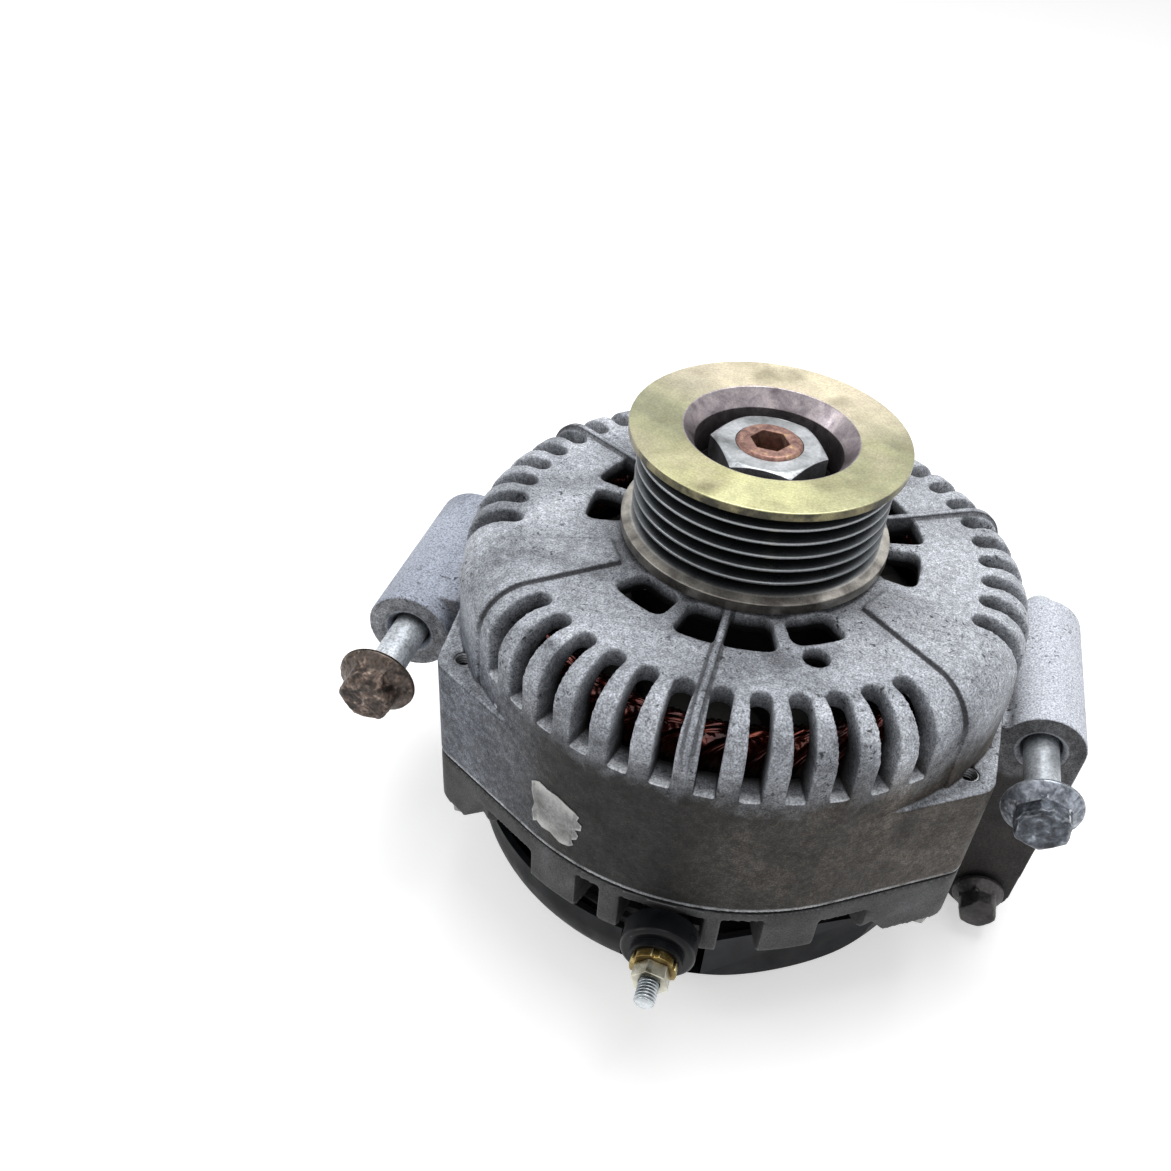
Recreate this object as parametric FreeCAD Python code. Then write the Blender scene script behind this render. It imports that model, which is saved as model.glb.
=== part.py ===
import FreeCAD, Part
import math
import os
from FreeCAD import Vector

# Alternator standing on its rear cover. The shaft is the Z axis and the pulley is on top.
# The origin is on the shaft axis in the plane that the rear cover rests on.
# The viewer of the terminal side looks along +Y, and the mounting tubes lie along Y.
# All lengths are millimetres and all angles are degrees about Z from +X.

# Clearances and seats
RUNNING_GAP = 0.3
SEAT_GAP = 0.02
SLIDE_GAP = 0.1
PARTING_GAP = 1.0
AIR_GAP = 0.5

# Stator radii. The housing, the rotor and the rear parts take theirs from these.
STATOR_OUT_R = 64.0
STATOR_DEPTH = 14.0
STATOR_YOKE = 4.5
WINDING_INSET = 1.5
WINDING_SPREAD = 0.7
STATOR_IN_R = STATOR_OUT_R - STATOR_DEPTH
STATOR_SLOT_OUT_R = STATOR_OUT_R - STATOR_YOKE
WINDING_R = (STATOR_IN_R + WINDING_INSET, STATOR_SLOT_OUT_R + WINDING_SPREAD)

# Housing heights
FACE_Z = 103.4
SLOT_FOOT_Z = 84.2
LEDGE_Z = 76.0
SKIRT_FOOT_Z = 46.0
RIM_TOP_Z = SKIRT_FOOT_Z - PARTING_GAP
RIM_FOOT_Z = 42.5
REAR_WALL_TOP_Z = 32.5
REAR_WALL_Z = 28.5

# Housing radii and walls
BODY_WALL = 5.7
CHAMBER_STEP = 1.8
REAR_CHAMBER_STEP = 2.5
BODY_R = STATOR_OUT_R + BODY_WALL
CHAMBER_R = STATOR_OUT_R - CHAMBER_STEP
REAR_CHAMBER_R = STATOR_OUT_R - REAR_CHAMBER_STEP
SHOULDER_R = 11.0
FACE_WALL = 5.0
REAR_CORNER_R = 3.0

# Through-bolt ears round the shaft. Their flanks on the rear frame are given in
# degrees from the ear's own angle, first under the rim and then at the foot.
EAR_ANGLES = (-148.0, -30.0, 90.0)
EAR_OUT = 1.3
EAR_PITCH_R = BODY_R + EAR_OUT
EAR_BOSS_R = 6.3
EAR_FOOT_Z = 28.2
EAR_RIM_FOOT_Z = 39.3
EAR_RIM_HALF = 27.5
EAR_TOP_SPAN = (-16.5, 11.0)
EAR_FOOT_SPAN = (-12.0, 7.0)

# The face of the drive end repeats three times round the shaft
SECTORS = 3
SECTOR_STEP = 360.0 / SECTORS
FRONT_SECTOR = -90.0

# Air slots of the drive end
SLOT_STEP = 8.0
SLOTS_PER_SECTOR = 12
SLOT_W = 4.8
SLOT_REACH = 14.2
SLOT_TIP_R = BODY_R - SLOT_REACH

# Kidney openings round the hub and the raised features of the face
KIDNEY_IN_R = 31.5
KIDNEY_WIDE_OUT_R = 43.0
KIDNEY_SIDE_OUT_R = 41.0
KIDNEY_WIDE_SPAN = (-15.0, 18.0)
KIDNEY_LEFT_SPAN = (-41.0, -20.0)
KIDNEY_RIGHT_SPAN = (22.5, 42.0)
KIDNEY_CORNER_R = 2.6
RIB_W = 1.7
RIB_RISE = 1.0
PAD_RISE = 0.9
PAD_IN_R = 35.0
PAD_IN_V = (-2.5, 6.5)
PAD_OUT_V = (-9.5, 13.0)
DOWEL_HOLE_R = 3.1
DOWEL_PITCH_R = 45.2
DOWEL_ANGLE = -62.0

# Mounting tubes and the arm
TUBE_OUT = 11.9
TUBE_X = BODY_R + TUBE_OUT
TUBE_Z = 65.3
TUBE_R = 11.0
TUBE_BORE_R = 5.2
TUBE_MOUTH_R = 6.4
TUBE_FAR_ROUND = 2.5
LEFT_TUBE_Y = (-22.0, 30.0)
RIGHT_TUBE_Y = (-11.0, 40.0)
WEB_IN_X = STATOR_IN_R
WEB_FRONT_STEP = 5.0
WEB_LEFT_BACK_STEP = 3.0
WEB_RIGHT_BACK_STEP = 5.0
LEFT_WEB_Z = (56.0, LEDGE_Z - 1.0)
RIGHT_WEB_Z = (54.0, LEDGE_Z - 5.5)
ARM_T = 12.0
ARM_FOOT_R = 9.0
ARM_FOOT_Z = ARM_FOOT_R
ARM_BOSS_T = 24.0
ARM_BORE_R = 3.3

# Rear frame windows between the fingers, in degrees round the shaft
FRONT_WINDOWS = ((-137.0, -120.3), (-108.5, -103.0), (-98.7, -81.7), (-78.3, -70.0), (-58.3, -46.5))
BACK_WINDOW_START = -8.0
BACK_WINDOW_STEP = 14.0
BACK_WINDOW_SPAN = 8.0
BACK_WINDOWS = 15
WINDOW_DEPTH = 5.0
WINDOW_IN_R = REAR_CHAMBER_R - WINDOW_DEPTH
REAR_HUB_R = 21.5
REAR_HUB_FOOT_Z = 20.5
VENT_IN_R = 24.0
VENT_OUT_R = 33.0
VENT_SPAN = 44.0
VENTS = 6
VENT_START = 30.0
VENT_CORNER_R = 3.0
BEARING_LIP = 3.0
HUB_OVER_BEARING = 1.0

# Stator
STATOR_Z = (43.0, 77.0)
STATOR_SLOTS = 36
STATOR_SLOT_W = 4.0
WINDING_TOP_Z = 95.0
WINDING_FOOT_Z = 34.6

# Rotor
SHAFT_R = 8.5
SHAFT_CORE_R = 9.5
SHAFT_TAIL_R = 7.5
SHAFT_END_R = 5.0
SHAFT_THREAD_R = 7.9
SHAFT_FOOT_Z = 3.5
SHAFT_SOCKET_AF = 8.0
SHAFT_SOCKET_DEPTH = 6.0
SHAFT_CHAMFER = 0.8
SHAFT_SHOULDER = 2.0
SHAFT_RELIEF = 0.5
POLE_R = STATOR_IN_R - AIR_GAP
POLE_RIM = 11.5
POLE_DISC_R = POLE_R - POLE_RIM
POLE_DISC_T = 11.0
POLE_FOOT_Z = 41.0
POLE_TOP_Z = 80.0
COIL_DEPTH = 16.5
POLE_CORE_R = POLE_DISC_R - COIL_DEPTH
CLAWS = 6
CLAW_ROOT_W = 20.0
CLAW_TIP_W = 7.0
CLAW_ROOT_T = 10.0
CLAW_TIP_T = 4.0
CLAW_ROOT_IN_R = POLE_R - CLAW_ROOT_T
CLAW_TIP_IN_R = POLE_R - CLAW_TIP_T
CLAW_TIP_GAP = 2.0
CLAW_LAP = 8.0
BOBBIN_T = 1.0
BOBBIN_LIP = 0.5
COIL_INSET = 0.6
COIL_R = POLE_DISC_R - COIL_INSET
FAN_T = 1.5
FRONT_FAN_STEP = 2.5
REAR_FAN_STEP = 3.5
FRONT_FAN_R = POLE_R - FRONT_FAN_STEP
FRONT_FAN_H = 9.0
REAR_FAN_R = POLE_R - REAR_FAN_STEP
REAR_FAN_H = 5.5
FAN_IN_R = 31.0
REAR_FAN_IN_R = 24.5
FAN_BLADES = 9
BLADE_T = 1.4
BLADE_LEAN = 28.0

# Ball bearings: bore, outer radius, width, ball radius, ball count
FRONT_BEARING = (SHAFT_R, 23.5, 14.0, 3.8, 8)
RACE_LAND = 0.7
CAGE_HALF_T = 0.6
CAGE_REACH = 1.25
FRONT_BEARING_INSET = 17.0
FRONT_BEARING_Z = FACE_Z - FRONT_BEARING_INSET
REAR_BEARING = (SHAFT_TAIL_R, 17.5, 11.0, 2.9, 8)
REAR_BEARING_Z = 22.0
FRONT_HUB_R = 29.0
COLLAR_R = 12.0
HUB_MOUTH_R = 13.6
RETAINER_T = 2.0
RETAINER_IN_R = 19.5
RETAINER_SCREW_R = 1.5
RETAINER_HEAD_R = 2.6
RETAINER_HEAD_T = 1.6
RETAINER_PITCH_R = 26.2
RETAINER_EDGE = 0.5
RETAINER_SCREWS = 4
RETAINER_SCREW_L = 7.0

# Pulley with six ribs of the standard 3.56 mm belt pitch
COLLAR_L = 4.4
PULLEY_LENGTH = 27.2
PULLEY_TOP_Z = FRONT_BEARING_Z + FRONT_BEARING[2] + COLLAR_L + PULLEY_LENGTH
SHAFT_INSET = 2.5
SHAFT_TOP_Z = PULLEY_TOP_Z - SHAFT_INSET
FLANGE_R = 32.5
CREST_R = 30.1
ROOT_R = 27.2
GROOVES = 6
GROOVE_STEP = 3.56
FIRST_GROOVE = 4.46
ROOT_HALF = 0.4
CREST_HALF = 0.35
RECESS_R = 20.2
RECESS_FLOOR_R = 17.3
RECESS_CONE = 4.0
RECESS_DEPTH = 13.2
PULLEY_BACK_R = 21.0
PULLEY_BACK_DEPTH = 7.0
PULLEY_HUB_R = 14.0
NUT_AF = 24.0
NUT_H = 10.0
NUT_CROWN_SLOPE = 0.5
NUT_CROWN_STEP = 0.4

# Rear cover. The rectifier, the regulator and the socket keep their distance from its rim.
COVER_STEP = 3.7
COVER_R = BODY_R - COVER_STEP
COVER_TOP_Z = 25.0
COVER_ROUND = 20.0
COVER_WALL = 1.8
WELL_R = 8.5
WELL_FLOOR_Z = 6.7
FLAT_ANGLE = -62.0
FLAT_STEP = 5.0
FLAT_R = COVER_R - FLAT_STEP
NOTCH_HALF = 10.5
NOTCH_FOOT_Z = 9.5
NOTCH_DEPTH = 20.0
SOCKET_NOTCH = 6.0
COVER_SLOTS = 10
COVER_SLOT_W = 2.4
COVER_SLOT_R = (COVER_R - 42.0, COVER_R - 28.0)

# Slip rings and brushes
SLIP_RING_R = 7.3
SLIP_INSULATOR_R = 6.4
SLIP_RING_H = 5.0
UPPER_RING_Z = 13.0
LOWER_RING_Z = 6.0
BRUSH_W = 6.0
BRUSH_H = 4.4
BRUSH_L = 12.0
HOLDER_HALF_X = 8.0
REGULATOR_Y = (COVER_R - 32.0, COVER_R - 12.0)
HOLDER_Y = (8.6, REGULATOR_Y[0] - 0.2)
HOLDER_Z = (3.6, 20.2)
HOLDER_BACK_T = 2.0
SPRING_WIRE_R = 0.35
SPRING_R = 1.6
SPRING_TURNS = 6
HOLDER_CORNER_R = 1.0

# Rectifier, regulator and connector under the cover
PLATE_T = 3.0
NEGATIVE_T = 3.5
NEGATIVE_Z = REAR_WALL_Z - NEGATIVE_T
POSITIVE_Z = 13.0
PLATE_R = (COVER_R - 32.0, COVER_R - 9.0)
PLATE_HALF_SPAN = 130.0
DIODE_R = 6.35
DIODE_STEP = 21.0
DIODE_PITCH_R = COVER_R - DIODE_STEP
DIODE_OFFSETS = (-90.0, -65.0, -15.0, 15.0, 65.0, 90.0)
DIODE_CAN_H = 6.0
DIODE_LEAD_R = 0.7
DIODE_LEAD_STEP = 2.5
PLATE_CORNER_R = 4.0
BOARD_Z = (19.3, 21.7)
STUD_OFFSETS = (-110.0, -40.0, 40.0, 110.0)
STUD_STEP = 14.0
STUD_PITCH_R = COVER_R - STUD_STEP
STUD_R = 2.5
STUD_FOOT_Z = 1.5
BUSH_R = 4.8
NUT_SMALL_AF = 8.0
NUT_SMALL_H = 4.0
REGULATOR_X = 20.0
REGULATOR_Z = (9.0, 24.0)
REGULATOR_SCREW_X = 15.0
REGULATOR_SCREW_Y = REGULATOR_Y[0] + 11.0
REGULATOR_SCREW_R = 2.0
REGULATOR_HEAD_R = 3.6
REGULATOR_HEAD_T = 2.5
REGULATOR_CORNER_R = 2.0
STANDOFF_R = 5.0
FIN_H = 3.0
FIN_T = 1.6
FINS = 6
FIN_EDGE = 1.0
FIN_SIDE = 5.0
SOCKET_X = 12.0
SOCKET_Y = (REGULATOR_Y[1], REGULATOR_Y[1] + 19.0)
SOCKET_Z = (6.5, 20.0)
SOCKET_WALL = 1.8
SOCKET_FLOOR = 4.0
PIN_L = 8.0
PIN_W = 2.0
PIN_T = 0.8
PIN_STEP = 6.0
SOCKET_CORNER_R = 2.5
LATCH_HALF = 3.0
LATCH_L = 3.0
LATCH_H = 1.4
LATCH_BACK = 4.0

# Output terminal, a stud that points out between two fingers
B_PLUS_ANGLE = -89.0
B_PLUS_Z = 36.0
B_PLUS_STUD_R = 2.5
B_PLUS_HEAD_GAP = 1.4
B_PLUS_HEAD_T = 2.4
B_PLUS_HEAD_R = (WINDING_R[1] + B_PLUS_HEAD_GAP, WINDING_R[1] + B_PLUS_HEAD_GAP + B_PLUS_HEAD_T)
B_PLUS_NECK_R = 6.2
B_PLUS_COLLAR_R = 9.0
B_PLUS_SEAT_L = 2.2
B_PLUS_COLLAR_L = 6.5
B_PLUS_HOOD_L = 1.9
B_PLUS_OUT_R = BODY_R + EAR_OUT
B_PLUS_STEPS = (B_PLUS_HEAD_R[1] + B_PLUS_SEAT_L, B_PLUS_OUT_R, B_PLUS_OUT_R + B_PLUS_COLLAR_L,
                B_PLUS_OUT_R + B_PLUS_COLLAR_L + B_PLUS_HOOD_L)
B_PLUS_FREE_L = 11.1
B_PLUS_TIP_R = B_PLUS_STEPS[3] + B_PLUS_FREE_L
B_PLUS_HOOD_R = 6.4
B_PLUS_EDGE_R = 1.2
B_PLUS_CHAMFER = 0.6
NUT_LOBES = 6
LOBE_NOTCH_R = 0.9
HEX_NUT_TURN = 15.0
FLANGE_NUT_T = 2.2
FLANGE_NUT_R = 5.6
HEX_NUT_T = 3.6
BAR_W = 8.0
BAR_T = 2.0
BAR_LAP = 7.0
BAR_OVER_STUD = 5.0
BAR_IN_R = PLATE_R[1] - BAR_LAP
BOSS_WALL = 1.4
LEG_FOOT_Z = 15.0

# Mounting bolts: shank radius, thread radius, flange radius, hex width, hex height,
# then the radius and length of the plain pilot nose that finds the hole
BIG_BOLT = (4.4, 4.9, 9.7, 13.0, 6.0, 4.0, 4.0)
SMALL_BOLT = (3.0, 3.0, 7.1, 10.0, 6.5, 2.4, 3.0)
RIGHT_HEAD_TURN = 22.0
LOWER_HEAD_TURN = 10.0
NOSE_CHAMFER = 0.5
CROWN_SLOPE = 0.5
CROWN_STEP = 0.3
CROWN_OUT = 6.0
FLANGE_EDGE = 0.8
BIG_BOLT_L = 80.0
BIG_THREAD_L = 26.0
BIG_BOLT_OUT = 19.0
SMALL_BOLT_L = 32.0
SMALL_THREAD_L = 16.0
SMALL_BOLT_OUT = 1.5
FLANGE_T = 2.0

THROUGH_BOLT_R = 2.3
THROUGH_HOLE_R = 2.5
THROUGH_HEAD_AF = 8.0
THROUGH_HEAD_H = 5.0
THROUGH_TIP_DEPTH = 4.0

UP = Vector(0, 0, 1)
ORIGIN = Vector(0, 0, 0)


# Shape helpers
def polar(radius, angle, z=0.0):
    a = math.radians(angle)
    return Vector(radius * math.cos(a), radius * math.sin(a), z)


def turned(shape, angle):
    copy = shape.copy()
    copy.rotate(ORIGIN, UP, angle)
    return copy


def disc(radius, z0, z1):
    return Part.makeCylinder(radius, z1 - z0, Vector(0, 0, z0), UP)


def ring(outer, inner, z0, z1):
    return disc(outer, z0, z1).cut(disc(inner, z0 - 1, z1 + 1))


def box(x0, x1, y0, y1, z0, z1):
    return Part.makeBox(x1 - x0, y1 - y0, z1 - z0, Vector(x0, y0, z0))


def rod(radius, start, end):
    along = end - start
    return Part.makeCylinder(radius, along.Length, start, along)


def post(radius, pitch, angle, z0, z1):
    return rod(radius, polar(pitch, angle, z0), polar(pitch, angle, z1))


def prism(points, z0, z1):
    wire = Part.makePolygon([Vector(x, y, z0) for x, y in points + points[:1]])
    return Part.Face(wire).extrude(Vector(0, 0, z1 - z0))


def hexagon(across_flats, z0, z1, angle=0.0):
    corner = across_flats / math.sqrt(3)
    corners = [polar(corner, angle + 60 * k) for k in range(6)]
    return prism([(c.x, c.y) for c in corners], z0, z1)


def spun(points):
    wire = Part.makePolygon([Vector(r, 0, z) for r, z in points + points[:1]])
    return Part.Face(wire).revolve(ORIGIN, UP, 360)


def spun_edges(edges):
    return Part.Face(Part.Wire(edges)).revolve(ORIGIN, UP, 360)


def line(r0, z0, r1, z1):
    return Part.makeLine(Vector(r0, 0, z0), Vector(r1, 0, z1))


def sector(inner, outer, a0, a1, z0, z1):
    mid = (a0 + a1) / 2
    edges = [Part.Arc(polar(outer, a0, z0), polar(outer, mid, z0), polar(outer, a1, z0)).toShape(),
             Part.makeLine(polar(outer, a1, z0), polar(inner, a1, z0)),
             Part.Arc(polar(inner, a1, z0), polar(inner, mid, z0), polar(inner, a0, z0)).toShape(),
             Part.makeLine(polar(inner, a0, z0), polar(outer, a0, z0))]
    return Part.Face(Part.Wire(edges)).extrude(Vector(0, 0, z1 - z0))


def upright_edges(shape):
    found = []
    for edge in shape.Edges:
        a = edge.Vertexes[0].Point
        b = edge.Vertexes[-1].Point
        if math.hypot(a.x - b.x, a.y - b.y) < 0.001 and abs(a.z - b.z) > 0.001:
            found.append(edge)
    return found


def rounded(shape, radius):
    return shape.makeFillet(radius, upright_edges(shape))


def radial(shape, angle, z):
    # Turns a shape built up the Z axis so that Z points outwards at the angle and height given.
    copy = shape.copy()
    copy.rotate(ORIGIN, Vector(0, 1, 0), 90)
    copy.rotate(ORIGIN, UP, angle)
    copy.translate(Vector(0, 0, z))
    return copy


def save(name, shape):
    shape.exportStep("parts/" + name + ".step")


# Outline that both frames share: a circle with three tangent ears
def eared_outline(z0, z1):
    reach = math.degrees(math.acos((BODY_R - EAR_BOSS_R) / EAR_PITCH_R))
    edges = []
    for k, angle in enumerate(EAR_ANGLES):
        following = EAR_ANGLES[(k + 1) % len(EAR_ANGLES)] + (360.0 if k == len(EAR_ANGLES) - 1 else 0.0)
        centre = polar(EAR_PITCH_R, angle, z0)
        first = centre + polar(EAR_BOSS_R, angle - reach)
        tip = centre + polar(EAR_BOSS_R, angle)
        last = centre + polar(EAR_BOSS_R, angle + reach)
        start = polar(BODY_R, angle - reach, z0)
        leave = polar(BODY_R, angle + reach, z0)
        onward = polar(BODY_R, (angle + following) / 2, z0)
        arrive = polar(BODY_R, following - reach, z0)
        edges.append(Part.makeLine(start, first))
        edges.append(Part.Arc(first, tip, last).toShape())
        edges.append(Part.makeLine(last, leave))
        edges.append(Part.Arc(leave, onward, arrive).toShape())
    return Part.Face(Part.Wire(edges)).extrude(Vector(0, 0, z1 - z0))


# Drive-end frame: the cast dome with its air slots, ears, mounting tubes and arm
def dome(radius, face_z, corner, foot_z):
    bend = corner * math.sqrt(0.5)
    edges = [line(0, foot_z, radius, foot_z),
             line(radius, foot_z, radius, face_z - corner),
             Part.Arc(Vector(radius, 0, face_z - corner),
                      Vector(radius - corner + bend, 0, face_z - corner + bend),
                      Vector(radius - corner, 0, face_z)).toShape(),
             line(radius - corner, face_z, 0, face_z),
             line(0, face_z, 0, foot_z)]
    return spun_edges(edges)


def air_slot(angle):
    inner = SLOT_TIP_R + SLOT_W / 2
    outer = BODY_R + PAD_RISE + 10
    top = FACE_Z + 10
    cut = box(inner, outer, -SLOT_W / 2, SLOT_W / 2, SLOT_FOOT_Z, top)
    tip = Part.makeCylinder(SLOT_W / 2, top - SLOT_FOOT_Z, Vector(inner, 0, SLOT_FOOT_Z), UP)
    return turned(cut.fuse(tip), angle)


def slot_angles():
    half = SLOT_STEP * (SLOTS_PER_SECTOR - 1) / 2
    return [FRONT_SECTOR + SECTOR_STEP * s - half + SLOT_STEP * k
            for s in range(SECTORS) for k in range(SLOTS_PER_SECTOR)]


def kidneys(middle):
    low = FACE_Z - FACE_WALL - 1
    high = FACE_Z + RIB_RISE + 1
    spans = ((KIDNEY_WIDE_SPAN, KIDNEY_WIDE_OUT_R),
             (KIDNEY_LEFT_SPAN, KIDNEY_SIDE_OUT_R),
             (KIDNEY_RIGHT_SPAN, KIDNEY_SIDE_OUT_R))
    openings = [sector(KIDNEY_IN_R, outer, middle + span[0], middle + span[1], low, high)
                for span, outer in spans]
    return [rounded(opening, KIDNEY_CORNER_R) for opening in openings]


def face_ribs():
    skin = dome(BODY_R + RIB_RISE, FACE_Z + RIB_RISE, SHOULDER_R + RIB_RISE, SLOT_FOOT_Z)
    core = dome(CHAMBER_R, FACE_Z - FACE_WALL, SHOULDER_R / 2, SLOT_FOOT_Z - 1)
    shell = skin.cut(core).cut(disc(KIDNEY_IN_R - 1, 0, FACE_Z + 5))
    strips = [turned(box(0, BODY_R + 5, -RIB_W / 2, RIB_W / 2, 0, FACE_Z + 5), FRONT_SECTOR + SECTOR_STEP * s)
              for s in range(SECTORS)]
    return [shell.common(strip) for strip in strips]


def face_pads():
    skin = dome(BODY_R + PAD_RISE, FACE_Z + PAD_RISE, SHOULDER_R + PAD_RISE, LEDGE_Z - 1)
    core = dome(BODY_R - 1, FACE_Z - 1, SHOULDER_R - 1, LEDGE_Z - 2)
    shell = skin.cut(core)
    far = BODY_R + 5
    plan = [(PAD_IN_R, PAD_IN_V[0]), (far, PAD_OUT_V[0]), (far, PAD_OUT_V[1]), (PAD_IN_R, PAD_IN_V[1])]
    pad = prism(plan, 0, FACE_Z + 5)
    between = FRONT_SECTOR + SECTOR_STEP / 2
    return [shell.common(turned(pad, between + SECTOR_STEP * s)) for s in range(SECTORS)]


def mounting_tube(x, span):
    tube = rod(TUBE_R, Vector(x, span[0], TUBE_Z), Vector(x, span[1], TUBE_Z))
    far = [edge for edge in tube.Edges
           if len(edge.Vertexes) == 1 and abs(edge.Vertexes[0].Point.y - span[1]) < 0.001]
    return tube.makeFillet(TUBE_FAR_ROUND, far)


def arm():
    front = RIGHT_TUBE_Y[0]
    reach = math.degrees(math.asin((TUBE_R - ARM_FOOT_R) / (TUBE_Z - ARM_FOOT_Z)))
    top = [Vector(TUBE_X + s * TUBE_R * math.cos(math.radians(reach)), front,
                  TUBE_Z - TUBE_R * math.sin(math.radians(reach))) for s in (-1, 1)]
    low = [Vector(TUBE_X + s * ARM_FOOT_R * math.cos(math.radians(reach)), front,
                  ARM_FOOT_Z - ARM_FOOT_R * math.sin(math.radians(reach))) for s in (-1, 1)]
    foot = Vector(TUBE_X, front, ARM_FOOT_Z - ARM_FOOT_R)
    edges = [Part.makeLine(top[1], low[1]),
             Part.Arc(low[1], foot, low[0]).toShape(),
             Part.makeLine(low[0], top[0]),
             Part.makeLine(top[0], top[1])]
    plate = Part.Face(Part.Wire(edges)).extrude(Vector(0, ARM_T, 0))
    boss = rod(ARM_FOOT_R, Vector(TUBE_X, front, ARM_FOOT_Z), Vector(TUBE_X, front + ARM_BOSS_T, ARM_FOOT_Z))
    return plate.fuse(boss)


def drive_end_frame():
    frame = dome(BODY_R, FACE_Z, SHOULDER_R, SKIRT_FOOT_Z)
    left_web = box(-TUBE_X, -WEB_IN_X, LEFT_TUBE_Y[0] + WEB_FRONT_STEP, LEFT_TUBE_Y[1] - WEB_LEFT_BACK_STEP,
                   LEFT_WEB_Z[0], LEFT_WEB_Z[1])
    right_web = box(WEB_IN_X, TUBE_X, RIGHT_TUBE_Y[0], RIGHT_TUBE_Y[1] - WEB_RIGHT_BACK_STEP,
                    RIGHT_WEB_Z[0], RIGHT_WEB_Z[1])
    adds = [eared_outline(SKIRT_FOOT_Z, LEDGE_Z), mounting_tube(-TUBE_X, LEFT_TUBE_Y),
            mounting_tube(TUBE_X, RIGHT_TUBE_Y), arm(), left_web, right_web]
    frame = frame.fuse(adds + face_pads())
    chamber = dome(CHAMBER_R, FACE_Z - FACE_WALL, SHOULDER_R / 2, STATOR_Z[1] - 1)
    bore = disc(STATOR_OUT_R + SEAT_GAP, SKIRT_FOOT_Z - 1, STATOR_Z[1])
    frame = frame.cut([chamber, bore])
    hub = disc(FRONT_HUB_R, FRONT_BEARING_Z, FACE_Z)
    frame = frame.fuse(hub)
    seat = disc(FRONT_BEARING[1] + SEAT_GAP, FRONT_BEARING_Z - 1, FRONT_BEARING_Z + FRONT_BEARING[2])
    mouth = disc(HUB_MOUTH_R, FRONT_BEARING_Z, FACE_Z + 1)
    cuts = [seat, mouth] + [air_slot(a) for a in slot_angles()]
    for s in range(SECTORS):
        cuts += kidneys(FRONT_SECTOR + SECTOR_STEP * s)
    cuts.append(post(DOWEL_HOLE_R, DOWEL_PITCH_R, DOWEL_ANGLE, FACE_Z - FACE_WALL - 1, FACE_Z + 1))
    cuts += [post(THROUGH_BOLT_R + SEAT_GAP, EAR_PITCH_R, a, SKIRT_FOOT_Z - 1, LEDGE_Z + 1)
             for a in EAR_ANGLES]
    cuts += [post(RETAINER_SCREW_R + SEAT_GAP, RETAINER_PITCH_R, a, FRONT_BEARING_Z - 1,
                  FRONT_BEARING_Z + RETAINER_SCREW_L + 1)
             for a in screw_angles()]
    for x, span in ((-TUBE_X, LEFT_TUBE_Y), (TUBE_X, RIGHT_TUBE_Y)):
        cuts.append(rod(TUBE_BORE_R, Vector(x, span[0] - 1, TUBE_Z), Vector(x, span[1] + 1, TUBE_Z)))
        depth = TUBE_MOUTH_R - TUBE_BORE_R
        mouth = Part.makeCone(TUBE_MOUTH_R, TUBE_BORE_R, depth, Vector(x, span[0], TUBE_Z), Vector(0, 1, 0))
        cuts.append(mouth)
    cuts.append(rod(ARM_BORE_R, Vector(TUBE_X, RIGHT_TUBE_Y[0] - 1, ARM_FOOT_Z),
                    Vector(TUBE_X, RIGHT_TUBE_Y[0] + ARM_BOSS_T + 1, ARM_FOOT_Z)))
    frame = frame.cut(cuts)
    return frame.fuse(face_ribs()).removeSplitter()


# Slip-ring-end frame: rim, fingers, ears and the wall that holds the rear bearing
def rear_ear(angle):
    top = [math.tan(math.radians(a)) * EAR_PITCH_R for a in EAR_TOP_SPAN]
    low = [math.tan(math.radians(a)) * EAR_PITCH_R for a in EAR_FOOT_SPAN]
    points = [Vector(0, top[0], RIM_TOP_Z), Vector(0, top[1], RIM_TOP_Z), Vector(0, top[1], EAR_RIM_FOOT_Z),
              Vector(0, low[1], EAR_FOOT_Z), Vector(0, low[0], EAR_FOOT_Z), Vector(0, top[0], EAR_RIM_FOOT_Z)]
    wedge = Part.Face(Part.makePolygon(points + points[:1])).extrude(Vector(BODY_R * 2, 0, 0))
    clear = disc(STATOR_OUT_R + SEAT_GAP, 0, FACE_Z)
    ear = eared_outline(EAR_FOOT_Z, RIM_TOP_Z).common(turned(wedge, angle))
    skirt = sector(STATOR_OUT_R, BODY_R * 2, angle - EAR_RIM_HALF, angle + EAR_RIM_HALF,
                   EAR_RIM_FOOT_Z, RIM_TOP_Z)
    rim = eared_outline(EAR_RIM_FOOT_Z, RIM_TOP_Z).common(skirt)
    return ear.fuse(rim).cut(clear)


def windows():
    spans = list(FRONT_WINDOWS)
    for k in range(BACK_WINDOWS):
        start = BACK_WINDOW_START + BACK_WINDOW_STEP * k
        if abs(start + BACK_WINDOW_SPAN / 2 - EAR_ANGLES[-1]) > BACK_WINDOW_STEP:
            spans.append((start, start + BACK_WINDOW_SPAN))
    return [sector(WINDOW_IN_R, BODY_R * 2, a0, a1, REAR_WALL_Z - 1, RIM_FOOT_Z) for a0, a1 in spans]


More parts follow.
